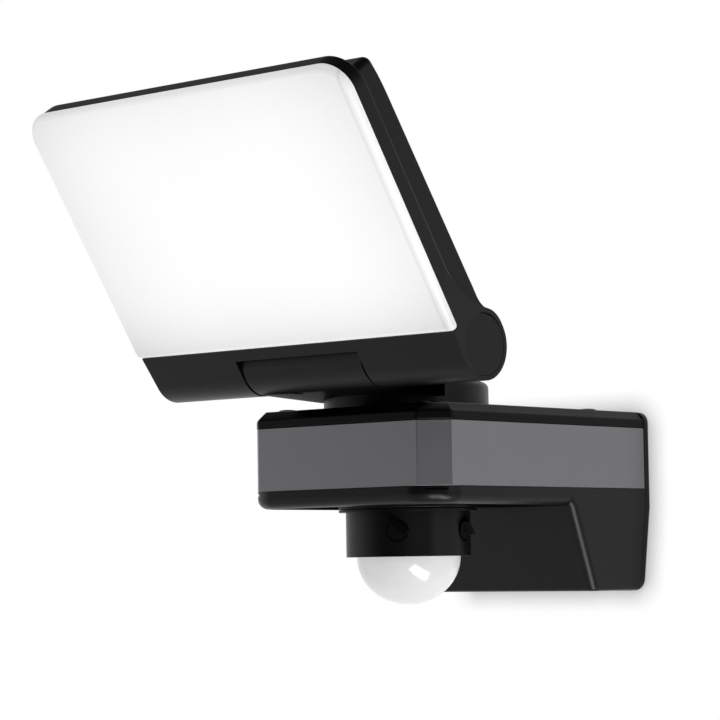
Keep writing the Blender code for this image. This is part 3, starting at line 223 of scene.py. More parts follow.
def cylinder(radius, low, high, segments=64):
    """A bmesh cylinder between two points."""
    low, high = Vector(low), Vector(high)
    shape = bmesh.new()
    bmesh.ops.create_cone(
        shape, cap_ends=True, segments=segments, radius1=radius, radius2=radius, depth=(high - low).length
    )
    turn = (high - low).to_track_quat("Z", "Y").to_matrix().to_4x4()
    bmesh.ops.transform(shape, matrix=Matrix.Translation((low + high) / 2) @ turn, verts=shape.verts)
    return shape


def mesh_of(name, shape):
    """Brings a bmesh from millimetres to a mesh in metres."""
    bmesh.ops.remove_doubles(shape, verts=shape.verts, dist=0.0005)
    bmesh.ops.recalc_face_normals(shape, faces=shape.faces)
    bmesh.ops.scale(shape, vec=(MM, MM, MM), verts=shape.verts)
    mesh = bpy.data.meshes.new(name)
    shape.to_mesh(mesh)
    shape.free()
    return mesh


def piece_of(name, shape, finish):
    """A new piece with this bmesh and material, not yet on a body."""
    piece = bpy.data.objects.new(name, mesh_of(name, shape))
    piece.data.materials.append(finish)
    bpy.context.scene.collection.objects.link(piece)
    return piece


def changed(piece, shape, operation):
    """Cuts a bmesh from a piece, or joins it on, and keeps the result as the piece's mesh."""
    tool = bpy.data.objects.new("tool", mesh_of("tool", shape))
    bpy.context.scene.collection.objects.link(tool)
    step = piece.modifiers.new("step", "BOOLEAN")
    step.operation = operation
    step.object = tool
    graph = bpy.context.evaluated_depsgraph_get()
    piece.data = bpy.data.meshes.new_from_object(piece.evaluated_get(graph))
    piece.modifiers.clear()
    bpy.data.objects.remove(tool)


def softened(piece, width, segments=3, angle=35):
    """Rounds every sharp edge of a piece a little."""
    bevel = piece.modifiers.new("Soft edges", "BEVEL")
    bevel.limit_method = "ANGLE"
    bevel.angle_limit = math.radians(angle)
    bevel.width = width * MM
    bevel.segments = segments


def mounted(piece, body, nodes, place=Matrix.Identity(4)):
    """Sets a piece in place on its body, where it stands for CAD nodes, and shades it."""
    piece.data.transform(place)
    piece.data.shade_smooth()
    piece.data.set_sharp_from_angle(angle=math.radians(50))
    even = piece.modifiers.new("Even normals", "WEIGHTED_NORMAL")
    even.keep_sharp = True
    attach(piece, body)
    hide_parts(*nodes)


def moulded(name, dark, light, roughness, grain, gloss=0.16):
    """Moulded plastic: a fine sparked grain, with slow changes of shade and gloss."""
    made, shader, where = material(name)
    cloud = where.make("TexNoise", {}, {"Vector": where, "Scale": 34.0, "Detail": 3.0}, "Fac")
    spark = where.make("TexNoise", {}, {"Vector": where, "Scale": 2400.0, "Detail": 2.0}, "Fac")
    cloud.mixed((*dark, 1), (*light, 1)).feed(shader.inputs["Base Color"])
    (roughness + (cloud - 0.5) * 0.1 + (spark - 0.5) * 0.08).feed(shader.inputs["Roughness"])
    bump = where.make("Bump", {}, {"Strength": grain, "Distance": 0.00006, "Height": spark}, "Normal")
    bump.feed(shader.inputs["Normal"])
    shader.inputs["Specular IOR Level"].default_value = gloss
    return made


black = moulded("black_plastic", (0.0018, 0.0018, 0.0019), (0.003, 0.003, 0.0031), 0.34, 0.3)
PLATE_THICK, PLATE_CORNER = 3.0, 5.0
PLATE_HALF, PLATE_FOOT_HALF, PLATE_TOP, PLATE_WAIST, PLATE_FOOT = 55.5, 51.5, 40.0, -2.6, -40.3
HOLE, HOLE_X, HOLE_Z, LEAD_HOLE, LEAD_Z = 2.6, 38, 26, 8.0, 16
plate_outline = (
    (-PLATE_FOOT_HALF, PLATE_FOOT), (PLATE_FOOT_HALF, PLATE_FOOT), (PLATE_HALF, PLATE_WAIST),
    (PLATE_HALF, PLATE_TOP), (-PLATE_HALF, PLATE_TOP), (-PLATE_HALF, PLATE_WAIST),
)
shape = prism([(x, 0, z) for x, z in plate_outline], (0, -PLATE_THICK, 0))
rounded(shape, PLATE_CORNER, 8, lambda a, b: abs(a.y - b.y) > 1 and abs(a.z) > PLATE_TOP - 1)
plate = piece_of("mounting_plate", shape, black)
for x in (-HOLE_X, HOLE_X):
    for z in (-HOLE_Z, HOLE_Z):
        changed(plate, cylinder(HOLE, (x, 2, z), (x, -PLATE_THICK - 2, z), 32), "DIFFERENCE")
changed(plate, cylinder(LEAD_HOLE, (0, 2, LEAD_Z), (0, -PLATE_THICK - 2, LEAD_Z)), "DIFFERENCE")
softened(plate, 0.5)
mounted(plate, "base", ["wall_plate"])


def turned(profile, segments=96, ring=False):
    """A bmesh spun about Z from a profile of radii and heights."""
    shape = bmesh.new()
    points = [shape.verts.new((radius, 0, height)) for radius, height in profile]
    edges = [shape.edges.new(pair) for pair in zip(points, points[1:])]
    if ring:
        edges.append(shape.edges.new((points[-1], points[0])))
    bmesh.ops.spin(
        shape, geom=[*points, *edges], axis=(0, 0, 1), cent=(0, 0, 0),
        angle=2 * math.pi, steps=segments, use_merge=True,
    )
    bmesh.ops.remove_doubles(shape, verts=shape.verts, dist=0.0005)
    return shape


rubber = moulded("soft_rubber", (0.014, 0.014, 0.014), (0.022, 0.022, 0.022), 0.75, 0.6)
LEAD, GROMMET_NECK, GROMMET_LIP, LIP_FOOT, LIP_TOP, GROMMET_FOOT = 4.5, 7.7, 10.5, 3.3, 5.3, 0.3
profile = (
    (LEAD, LIP_TOP), (GROMMET_LIP, LIP_TOP), (GROMMET_LIP, LIP_FOOT),
    (GROMMET_NECK, LIP_FOOT), (GROMMET_NECK, GROMMET_FOOT), (LEAD, GROMMET_FOOT),
)
shape = turned(profile, 64, ring=True)
grommet = piece_of("lead_grommet", shape, rubber)
softened(grommet, 0.4)
onto_wall = Matrix.Translation((0, 0, LEAD_Z * MM)) @ Matrix.Rotation(math.radians(90), 4, "X")
mounted(grommet, "base", ["cable_grommet"], onto_wall)

# Base housing. One black moulding: a shallow tray whose skirt shows under the grey band, hollow
# below, with a wedge that carries it down the wall. A pry slot lies under each front corner of the
# band, and two screws come up through the wedge's foot.
BODY_HALF, BODY_FRONT, BODY_BACK, CHAMFER = 55.5, -150.0, -3.3, 10.5


def body_outline(inset, height, back=BODY_BACK):
    """The housing seen from above at a height, square at the wall and chamfered in front."""
    half, front, cut = BODY_HALF - inset, BODY_FRONT + inset, CHAMFER - inset * (2 - math.sqrt(2))
    return (
        (-half, back, height), (-half, front + cut, height), (cut - half, front, height),
        (half - cut, front, height), (half, front + cut, height), (half, back, height),
    )


SKIRT_TOP, SKIRT_FOOT, SKIRT_ROUND, UPRIGHT_ROUND = 5.2, -2.15, 4.5, 6.0
shape = prism(body_outline(0, SKIRT_TOP), (0, 0, SKIRT_FOOT - SKIRT_TOP))
rounded(shape, UPRIGHT_ROUND, 10, lambda a, b: abs(a.z - b.z) > 1 and max(a.y, b.y) < BODY_BACK - 1)
rounded(shape, SKIRT_ROUND, 8, lambda a, b: max(a.z, b.z) < 0 and min(a.y, b.y) < BODY_BACK - 1)
housing = piece_of("housing_tray", shape, black)
WEDGE_TOP, WEDGE_FOOT, WEDGE_EDGE, FOOT_EDGE = (55.53, -57.8, -2.6), (51.5, -37.8, -40.0), 3.6, 1.2
wedge = bmesh.new()
bmesh.ops.create_cube(wedge, size=2)
for point in wedge.verts:
    x, y, z = point.co
    half, front, high = WEDGE_TOP if z > 0 else WEDGE_FOOT
    point.co = (x * half, BODY_BACK if y > 0 else front, high)
top = [face for face in wedge.faces if min(point.co.z for point in face.verts) > -3]
raised = bmesh.ops.extrude_face_region(wedge, geom=top)["geom"]
bmesh.ops.translate(wedge, verts=[p for p in raised if isinstance(p, bmesh.types.BMVert)], vec=(0, 0, 5))
bmesh.ops.delete(wedge, geom=top, context="FACES_ONLY")
rounded(wedge, WEDGE_EDGE, 8, lambda a, b: max(a.y, b.y) < -30 and abs(a.z - b.z) > 10)
rounded(wedge, FOOT_EDGE, 3, lambda a, b: max(a.z, b.z) < -39 and min(a.y, b.y) < -5)
changed(housing, wedge, "UNION")
SKIRT_WALL, HOLLOW_BACK, HOLLOW_DEEP = 5.5, -62, 2
hollow = prism(body_outline(SKIRT_WALL, SKIRT_FOOT - 1, HOLLOW_BACK), (0, 0, HOLLOW_DEEP + 1))
changed(housing, hollow, "DIFFERENCE")
SCREW_X, SCREW_Y, SCREW_SEAT, SCREW_WELL = 32, -8, -37.7, 4
PRY_SIZE, PRY_PLACE = (9.5, 6.0, 1.0), (50.8, -144.2, 4.0)
for side in (-1, 1):
    low, high = (side * SCREW_X, SCREW_Y, -45), (side * SCREW_X, SCREW_Y, SCREW_SEAT)
    changed(housing, cylinder(SCREW_WELL, low, high, 48), "DIFFERENCE")
    pry_slot = bmesh.new()
    bmesh.ops.create_cube(pry_slot, size=1)
    bmesh.ops.scale(pry_slot, vec=PRY_SIZE, verts=pry_slot.verts)
    across_corner = Matrix.Rotation(side * math.radians(45), 4, "Z")
    x, y, z = PRY_PLACE
    bmesh.ops.transform(
        pry_slot, matrix=Matrix.Translation((side * x, y, z)) @ across_corner, verts=pry_slot.verts
    )
    changed(housing, pry_slot, "DIFFERENCE")
mounted(housing, "base", ["base_housing"])


def plated(name, dark, light, roughness):
    """Plated or bare metal with fine scratches and a slightly cloudy gloss."""
    made, shader, where = material(name)
    cloud = where.make("TexNoise", {}, {"Vector": where, "Scale": 220.0, "Detail": 4.0}, "Fac")
    lines = where.make("Mapping", {}, {"Vector": where, "Scale": (400, 6000, 6000)})
    scratch = where.make("TexNoise", {}, {"Vector": lines, "Scale": 1.0, "Detail": 3.0}, "Fac")
    cloud.mixed((*dark, 1), (*light, 1)).feed(shader.inputs["Base Color"])
    (roughness + (cloud - 0.5) * 0.16 + (scratch - 0.5) * 0.12).feed(shader.inputs["Roughness"])
    shader.inputs["Metallic"].default_value = 1.0
    bump = where.make("Bump", {}, {"Strength": 0.25, "Distance": 0.00003, "Height": scratch}, "Normal")
    bump.feed(shader.inputs["Normal"])
    return made


def cross_screw(name, radius, height, finish):
    """A low round screw head with a cross recess, standing on Z = 0; its skirt is upright."""
    skirt_high, dome_high, cross_long, cross_wide, cross_up = 0.4 * height, 0.6 * height, 1.1, 0.26, 0.95
    shape = bmesh.new()
    bmesh.ops.create_uvsphere(shape, u_segments=48, v_segments=32, radius=1)
    bmesh.ops.bisect_plane(
        shape, geom=[*shape.verts, *shape.edges, *shape.faces], plane_co=(0, 0, 0), plane_no=(0, 0, -1),
        clear_outer=True,
    )
    rim = [edge for edge in shape.edges if edge.is_boundary]
    bmesh.ops.scale(shape, vec=(radius, radius, dome_high), verts=shape.verts)
    bmesh.ops.translate(shape, verts=shape.verts, vec=(0, 0, skirt_high))
    skirt = bmesh.ops.extrude_edge_only(shape, edges=rim)["geom"]
    foot = [part for part in skirt if isinstance(part, bmesh.types.BMVert)]
    bmesh.ops.translate(shape, verts=foot, vec=(0, 0, -skirt_high))
    bmesh.ops.holes_fill(shape, edges=[edge for edge in shape.edges if edge.is_boundary])
    head = piece_of(name, shape, finish)
    for wide, deep in ((cross_long, cross_wide), (cross_wide, cross_long)):
        arm = bmesh.new()
        bmesh.ops.create_cube(arm, size=1)
        bmesh.ops.scale(arm, vec=(wide * radius, deep * radius, height), verts=arm.verts)
        bmesh.ops.translate(arm, verts=arm.verts, vec=(0, 0, height * cross_up))
        changed(head, arm, "DIFFERENCE")
    return head


zinc = plated("zinc_plate", (0.42, 0.43, 0.45), (0.6, 0.6, 0.6), 0.34)
FOOT_SCREW, FOOT_SCREW_HIGH, SEAT_GAP = 3.6, 1.6, 0.1
upside_down = Matrix.Rotation(math.pi, 4, "X")
for side, word in ((-1, "left"), (1, "right")):
    head = cross_screw("foot_screw_" + word, FOOT_SCREW, FOOT_SCREW_HIGH, zinc)
    seat = Vector((side * SCREW_X, SCREW_Y, SCREW_SEAT - SEAT_GAP)) * MM
    place = Matrix.Translation(seat) @ upside_down
    mounted(head, "base", ["base_screw_" + word], place)

# Power board in the housing and the terminal block for the mains lead. They are bought parts,
# soldered or clipped in, and stay out of sight under the cover.


def solder_mask(name, dark, light, track):
    """A printed board: a coloured mask with fine tracks showing through as a lighter net."""
    made, shader, where = material(name)
    cells = where.make(
        "TexVoronoi", {"feature": "DISTANCE_TO_EDGE"}, {"Vector": where, "Scale": 260.0}, "Distance"
    )
    lines = where.maths("LESS_THAN", cells, 0.04)
    tint = where.make("TexNoise", {}, {"Vector": where, "Scale": 60.0}, "Fac").mixed((*dark, 1), (*light, 1))
    lines.mixed(tint, (*track, 1)).feed(shader.inputs["Base Color"])
    (0.35 + lines * 0.15).feed(shader.inputs["Roughness"])
    return made


def dressed(finish, *nodes):
    """Gives CAD nodes that keep their own shape a better finish."""
    for node in nodes:
        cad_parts[node].material_slots[0].material = finish


green_mask = solder_mask("green_mask", (0.012, 0.085, 0.03), (0.02, 0.13, 0.05), (0.05, 0.2, 0.08))
grey_case = moulded("grey_case", (0.36, 0.36, 0.36), (0.5, 0.5, 0.49), 0.5, 0.3)
blue_film = moulded("blue_film", (0.02, 0.045, 0.2), (0.035, 0.07, 0.28), 0.3, 0.2)
dressed(green_mask, "driver_board", "sensor_board")
dressed(grey_case, "terminal_block", "relay", "time_pot", "light_pot")
dressed(blue_film, "transformer", "capacitor")

# Trim band. A thin dark grey strip, satin, wrapped round the front and the sides in a shallow
# recess between the skirt and the lid.
grey = moulded("grey_satin", (0.164, 0.165, 0.174), (0.182, 0.183, 0.193), 0.36, 0.12)
grey.node_tree.nodes["Principled BSDF"].inputs["Metallic"].default_value = 0.8
BAND_FOOT, BAND_TOP, BAND_INSET, BAND_BACK, BAND_EDGE = 5.35, 32.55, 0.15, 2.0, 0.2
outer, inner = body_outline(BAND_INSET, BAND_FOOT), body_outline(BAND_BACK, BAND_FOOT)
shape = prism((*outer, *inner[::-1]), (0, 0, BAND_TOP - BAND_FOOT))
rounded(shape, BAND_EDGE, 2, lambda a, b: abs(a.z - b.z) > 1 and max(a.y, b.y) < BODY_BACK - 1)
band = piece_of("grey_band", shape, grey)
softened(band, 0.15, 2)
mounted(band, "base", ["trim_band"])

# Lid. A black moulding with an upright rim and a bevelled edge, held by four domed screws that
# stand up a little from its top.
LID_FOOT, LID_TOP, LID_BEVEL, LID_UPRIGHT = 32.7, 40.0, 3.8, 0.95


def weighted(piece, width, segments, weights):
    """Rounds edges by their own share of a width, as a test of their two ends gives it."""
    layer = piece.data.attributes.new("bevel_weight_edge", "FLOAT", "EDGE")
    points = piece.data.vertices
    for edge, value in zip(piece.data.edges, layer.data):
        value.value = weights(*(points[i].co / MM for i in edge.vertices))
    bevel = piece.modifiers.new("Rounded", "BEVEL")
    bevel.limit_method = "WEIGHT"
    bevel.width = width * MM
    bevel.segments = segments


def lid_weights(a, b):
    """The whole bevel round the top, a small one on the upright corners, none at the wall."""
    if min(a.z, b.z) > LID_TOP - 1 and min(a.y, b.y) < BODY_BACK - 1:
        return 1.0
    upright_edge = abs(a.z - b.z) > 1 and max(a.y, b.y) < BODY_BACK - 1
    return LID_UPRIGHT / LID_BEVEL if upright_edge else 0.0


dull_black = moulded("dull_black_plastic", (0.0018, 0.0018, 0.0019), (0.003, 0.003, 0.0031), 0.36, 0.3, 0.07)
lid = piece_of("housing_lid", prism(body_outline(0, LID_FOOT), (0, 0, LID_TOP - LID_FOOT)), dull_black)
weighted(lid, LID_BEVEL, 1, lid_weights)
softened(lid, 0.5, 3, 25)
mounted(lid, "base", ["top_cover"])
black_steel = plated("black_oxide", (0.012, 0.012, 0.013), (0.02, 0.02, 0.021), 0.42)
LID_SCREW, LID_SCREW_HIGH = 4.0, 1.1
LID_SCREWS = {
    "front_left": (-38, -138), "front_right": (38, -138),
    "rear_left": (-44, -30.3), "rear_right": (44, -30.3),
}
for word, (x, y) in LID_SCREWS.items():
    head = cross_screw("lid_screw_" + word, LID_SCREW, LID_SCREW_HIGH, black_steel)
    place = Matrix.Translation(Vector((x, y, LID_TOP)) * MM)
    mounted(head, "base", ["cover_screw_" + word], place)

# Swivel arm. One black moulding: a turntable on the lid, a neck that reaches forward and the
# knuckle on which the head tilts. A hollow spindle holds it down, with a nut inside the housing.
PAN_Y, HINGE_Y, HINGE_Z = -103.0, -157.0, 60.7
KNUCKLE, KNUCKLE_HALF = 14.5, 33.3


def swept(shape, start, centre, angle, steps):
    """Carries a point round a centre in the YZ plane, leaving edges, and returns the last point."""
    made = bmesh.ops.spin(
        shape, geom=[start], cent=centre, axis=(1, 0, 0), angle=math.radians(angle), steps=steps
    )
    return next(part for part in made["geom_last"] if isinstance(part, bmesh.types.BMVert))


def drawn(shape, start, points):
    """Straight edges on from a point, through others, to the last of them."""
    for place in points:
        end = shape.verts.new(place)
        shape.edges.new((start, end))
        start = end
    return start


def thickened(shape, width):
    """Fills a closed outline that lies in a YZ plane and gives it a width along X."""
    bmesh.ops.remove_doubles(shape, verts=shape.verts, dist=0.0005)
    faces = bmesh.ops.edgeloop_fill(shape, edges=shape.edges)["faces"]
    raised = bmesh.ops.extrude_face_region(shape, geom=faces)["geom"]
    moved = [part for part in raised if isinstance(part, bmesh.types.BMVert)]
    bmesh.ops.translate(shape, verts=moved, vec=(width, 0, 0))
    bmesh.ops.recalc_face_normals(shape, faces=shape.faces)


TABLE_RADIUS, TABLE_FOOT, TABLE_TOP, TABLE_EDGE, NECK_FOOT, CROWN_TURN = 36.0, 40.3, 51.7, 3.0, 44.3, 65
table = turned(((0, TABLE_TOP), (TABLE_RADIUS, TABLE_TOP), (TABLE_RADIUS, TABLE_FOOT), (0, TABLE_FOOT)))
rounded(
    table, TABLE_EDGE, 6,
    lambda a, b: min(a.z, b.z) > TABLE_TOP - 1 and min(a.xy.length, b.xy.length) > TABLE_RADIUS - 6,
)
bmesh.ops.translate(table, verts=table.verts, vec=(0, PAN_Y, 0))
neck = bmesh.new()
centre = Vector((-KNUCKLE_HALF, HINGE_Y, HINGE_Z))
crown = Matrix.Rotation(math.radians(CROWN_TURN), 3, "X") @ Vector((0, KNUCKLE, 0))
first = neck.verts.new(centre + crown)
last = swept(neck, first, centre, 270 - CROWN_TURN, 40)
neck_outline = (
    (PAN_Y - 18, NECK_FOOT), (PAN_Y, NECK_FOOT), (PAN_Y + 3.7, TABLE_TOP - 0.3), (PAN_Y - 12, TABLE_TOP + 2),
)
last = drawn(neck, last, [(-KNUCKLE_HALF, y, z) for y, z in neck_outline])
neck.edges.new((last, first))
thickened(neck, 2 * KNUCKLE_HALF)
arm = piece_of("swivel_moulding", neck, black)
changed(arm, table, "UNION")
LOCK_HOLE, LOCK_X, LOCK_LOW, LOCK_HIGH = 2.7, 14.5, HINGE_Z - 20, HINGE_Z - 6
for x in (-LOCK_X, LOCK_X):
    changed(arm, cylinder(LOCK_HOLE, (x, HINGE_Y, LOCK_LOW), (x, HINGE_Y, LOCK_HIGH), 32), "DIFFERENCE")
# Painted shade: a near-black, dull finish for faces that lie in shadow.
painted_shade_black = moulded("black_painted_shade", (0.0006, 0.0006, 0.0006), (0.001, 0.001, 0.001), 0.8, 0.3, 0.0)


def painted_dark_faces(piece, hidden):
    """Paints the faces of a piece that a test picks near-black and dull: painted shade where they lie in
    shadow.
    """
    piece.data.materials.append(painted_shade_black)
    for face in piece.data.polygons:
        if hidden(face):
            face.material_index = 1


# The neck's flat sides are painted near-black: painted shade between the barrel and the lid.
painted_dark_faces(arm, lambda face: abs(abs(face.center.x) / MM - KNUCKLE_HALF) < 0.1)
softened(arm, 0.5, 3)
mounted(arm, "arm", ["swivel_arm"])
brass = plated("plain_brass", (0.5, 0.34, 0.11), (0.66, 0.47, 0.17), 0.36)
dressed(zinc, "lock_screw_left", "lock_screw_right", "pan_nut", "hinge_pin_left", "hinge_pin_right")
dressed(zinc, "sensor_clip", "pyro_sensor")
dressed(brass, "pan_washer", "hinge_washer_left", "hinge_washer_right")

# Head frame. A black tray behind the light's face with the hinge barrel along its foot, moulded
# in one and slotted for the knuckle. It is modelled upright about the hinge and then leaned.
HEAD_LEAN = math.radians(34)
HINGE = (0, HINGE_Y * MM, HINGE_Z * MM)
HEAD_PLACE = Matrix.Translation(HINGE) @ Matrix.Rotation(HEAD_LEAN, 4, "X")
HEAD_HALF, HEAD_LOW, HEAD_HIGH, LOW_CORNER = 90.0, 14.8, 134.3, 2.7
FACE_Y, FRAME_REAR, FRAME_CORNER, SHOULDER = -13.1, -5.5, 14.0, 1.3


def head_slab(front, rear, corner):
    """The head's outline, with large top corners and small bottom ones, between two depths."""
    outline = ((-HEAD_HALF, HEAD_LOW), (HEAD_HALF, HEAD_LOW), (HEAD_HALF, HEAD_HIGH), (-HEAD_HALF, HEAD_HIGH))
    slab = prism([(x, front, z) for x, z in outline], (0, rear - front, 0))
    rounded(slab, corner, 16, lambda a, b: abs(a.y - b.y) > 0.5 and min(a.z, b.z) > HEAD_HIGH - 1)
    rounded(slab, LOW_CORNER, 6, lambda a, b: abs(a.y - b.y) > 0.5 and max(a.z, b.z) < HEAD_LOW + 1)
    return slab


def shoulder(shape):
    """Rounds the rear edges of the frame and its cheeks, at the sides and along the top."""
    rounded(
        shape, SHOULDER, 4,
        lambda a, b: min(a.y, b.y) > FRAME_REAR - 0.1 and max(a.z, b.z) > HEAD_LOW + 3
        and (min(abs(a.x), abs(b.x)) > HEAD_HALF - 0.1 or min(a.z, b.z) > HEAD_HIGH - FRAME_CORNER - 1),
    )


BARREL, FOOT_HALF, FILLET, BARREL_BACK, BACK_LOW = 14.7, 87.0, 12.0, 7.55, 24.3
BARREL_TOP, FOOT_TOP, WEB_FRONT = HEAD_LOW - 0.3, BACK_LOW - 0.05, FRAME_REAR - 2
fillet_y = BARREL_BACK + FILLET
fillet_z = math.sqrt((BARREL + FILLET) ** 2 - fillet_y**2)
meet = math.degrees(math.atan2(fillet_z, fillet_y))
barrel = bmesh.new()
first = barrel.verts.new((-HEAD_HALF, -BARREL, 0))
last = swept(barrel, first, (-HEAD_HALF, 0, 0), 180 + meet, 64)
last = drawn(barrel, last, [(-HEAD_HALF, WEB_FRONT, BARREL_TOP), (-HEAD_HALF, -BARREL, BARREL_TOP)])
barrel.edges.new((last, first))
thickened(barrel, 2 * HEAD_HALF)
head = piece_of("head_moulding", barrel, black)
foot = bmesh.new()
meet_y, meet_z = BARREL * math.cos(math.radians(meet)), BARREL * math.sin(math.radians(meet))
first = foot.verts.new((-FOOT_HALF, meet_y, meet_z))
last = swept(foot, first, (-FOOT_HALF, fillet_y, fillet_z), -meet, 12)
web_outline = ((BARREL_BACK, FOOT_TOP), (WEB_FRONT, FOOT_TOP), (WEB_FRONT, 5))
last = drawn(foot, last, [(-FOOT_HALF, y, z) for y, z in web_outline])
foot.edges.new((last, first))
thickened(foot, 2 * FOOT_HALF)
changed(head, foot, "UNION")
slab = head_slab(FACE_Y, FRAME_REAR, FRAME_CORNER)
shoulder(slab)
changed(head, slab, "UNION")
CHEEK_TOP, CHEEK_FADE, CHEEK_THICK, BARREL_END = 44.0, 36.0, 8.0, 87.3
CHEEK_INSET, CHEEK_SIDE, CHEEK_HIGH, CHEEK_LOW = 0.04, 0.02, CHEEK_TOP + 8, HEAD_LOW - 0.4
TRIM_SIDE, TRIM_OUT, TRIM_HIGH, TRIM_LOW = HEAD_HALF + 0.01, HEAD_HALF + 20, CHEEK_TOP + 20, -30
CAP_WELL, CAP_FLOOR, SLOT_HALF, SLOT_ROUND = 12.75, 84.0, 34.5, 17.4
cheek_round, cheek_front = BARREL - CHEEK_INSET, FACE_Y + CHEEK_INSET
ear = (CHEEK_TOP**2 + FRAME_REAR**2 - cheek_round**2) / (2 * (cheek_round - FRAME_REAR))
ear_turn = math.degrees(math.atan2(CHEEK_TOP, ear + FRAME_REAR))
cheek_outline = (
    (FRAME_REAR, CHEEK_HIGH), (cheek_front, CHEEK_HIGH), (cheek_front, CHEEK_LOW), (-cheek_round, CHEEK_LOW),
)
trim_outline = (
    (TRIM_SIDE, TRIM_HIGH), (TRIM_SIDE, CHEEK_FADE), (BARREL_END, 0), (BARREL_END, TRIM_LOW),
    (TRIM_OUT, TRIM_LOW), (TRIM_OUT, TRIM_HIGH),
)
for side in (-1, 1):
    outside = HEAD_HALF - CHEEK_SIDE
    left = min(side * outside, side * (outside - CHEEK_THICK))
    cheek = bmesh.new()
    first = cheek.verts.new((left, -cheek_round, 0))
    last = swept(cheek, first, (left, 0, 0), 180 + ear_turn, 72)
    last = swept(cheek, last, (left, ear + FRAME_REAR, CHEEK_TOP), -ear_turn, 16)
    last = drawn(cheek, last, [(left, y, z) for y, z in cheek_outline])
    cheek.edges.new((last, first))
    thickened(cheek, CHEEK_THICK)
    shoulder(cheek)
    changed(head, cheek, "UNION")
    trim = prism([(side * x, TRIM_LOW, z) for x, z in trim_outline], (0, -2 * TRIM_LOW, 0))
    changed(head, trim, "DIFFERENCE")
    well = cylinder(CAP_WELL, (side * CAP_FLOOR, 0, 0), (side * (CAP_FLOOR + 8), 0, 0), 96)
    changed(head, well, "DIFFERENCE")
changed(head, cylinder(SLOT_ROUND, (-SLOT_HALF, 0, 0), (SLOT_HALF, 0, 0), 96), "DIFFERENCE")
# The slot's inside is painted near-black: painted shade in the gap above the knuckle.
painted_dark_faces(head, lambda face: abs(face.center.yz.length / MM - SLOT_ROUND) < 0.1)
softened(head, 0.45, 3)
mounted(head, "head", ["head_frame"], HEAD_PLACE)

# Barrel caps. Black moulded discs, each plugged by a stem into an end of the barrel, with a fine
# groove left round its edge.
CAP, CAP_FOOT, CAP_STEM, STEM_FOOT = 12.6, 84.3, 9.9, 78.3
profile = (
    (0, BARREL_END), (CAP, BARREL_END), (CAP, CAP_FOOT),
    (CAP_STEM, CAP_FOOT), (CAP_STEM, STEM_FOOT), (0, STEM_FOOT),
)
for side, word in ((-1, "left"), (1, "right")):
    cap = piece_of("end_cap_" + word, turned(profile), black)
    softened(cap, 0.15, 2)
    place = HEAD_PLACE @ Matrix.Rotation(side * math.radians(90), 4, "Y")
    mounted(cap, "head", ["barrel_cap_" + word], place)

# Light engine. Eight phosphor LEDs on a white board, on an aluminium sheet that spreads their
# heat, with a rubber seal round the edge. All of it lies behind the opal cover.
dressed(rubber, "diffuser_seal")
dressed(plated("mill_aluminium", (0.52, 0.53, 0.55), (0.66, 0.66, 0.67), 0.4), "heat_spreader")
dressed(solder_mask("white_mask", (0.68, 0.68, 0.66), (0.78, 0.78, 0.76), (0.6, 0.6, 0.58)), "led_board")
dressed(
    moulded("phosphor_resin", (0.75, 0.56, 0.12), (0.85, 0.68, 0.2), 0.35, 0.2),
    *(f"led_{row}_{column}" for row in (1, 2) for column in (1, 2, 3, 4)),
)

# Opal cover. A milky moulding with rounded edges and a painted glow in place of the LEDs behind it: brightest
# over the LEDs and painted greyer toward the rim, most of all below and on the right. The lip that
# holds it in the frame is painted on as a fine dark line, a painted shadow.
opal, shader, where = material("opal_with_painted_glow")
local = where.make(
    "Mapping", {"vector_type": "TEXTURE"},
    {"Vector": where, "Location": HINGE, "Rotation": (HEAD_LEAN, 0, 0), "Scale": (MM, MM, MM)},
)
flat_x = local.make("SeparateXYZ", {}, {0: local})
flat_z = Socket(flat_x.tree, flat_x.output.node.outputs["Z"])


def painted_falloff(gap, reach, depth, power):
    """The painted dimming toward an edge of the panel, within a reach of it."""
    return where.maths("POWER", where.maths("MAXIMUM", 1 - gap / reach, 0.0), power) * depth


LIP_IN, LIP_HALF, LIP_PAINTED_SHADE = 3.4, 0.9, 0.15
right_gap, left_gap, low_gap, high_gap = (
    HEAD_HALF - flat_x, flat_x + HEAD_HALF, flat_z - HEAD_LOW, HEAD_HIGH - flat_z
)
lip_gap = where.maths("ABSOLUTE", HEAD_HALF - LIP_IN - flat_x)
painted_edge_dimming = (
    painted_falloff(right_gap, 60.0, 0.18, 2) + painted_falloff(left_gap, 60.0, 0.17, 2)
    + painted_falloff(low_gap, 50.0, 0.3, 3) + painted_falloff(high_gap, 50.0, 0.14, 3)
    + painted_falloff(lip_gap, LIP_HALF, LIP_PAINTED_SHADE, 1)
)
# Painted glow: the emission stands for the LEDs' light, less the painted dimming and lip line.
painted_edge_dimming.mixed((0.74, 0.74, 0.74, 1), (0, 0, 0, 1)).feed(shader.inputs["Emission Color"])
shader.inputs["Emission Strength"].default_value = 1.0
haze = where.make("TexNoise", {}, {"Vector": where, "Scale": 900.0, "Detail": 2.0}, "Fac")
haze.mixed((0.28, 0.28, 0.285, 1), (0.31, 0.31, 0.31, 1)).feed(shader.inputs["Base Color"])
(0.38 + haze * 0.1).feed(shader.inputs["Roughness"])
OPAL_FRONT, OPAL_REAR, OPAL_CORNER, OPAL_EDGE = FACE_Y - 3.4, FACE_Y - 0.3, 12.5, 2.8
shape = head_slab(OPAL_FRONT, OPAL_REAR, OPAL_CORNER)
rounded(shape, OPAL_EDGE, 8, lambda a, b: max(a.y, b.y) < OPAL_FRONT + 0.1)
cover = piece_of("opal_cover", shape, opal)
mounted(cover, "head", ["diffuser"], HEAD_PLACE)

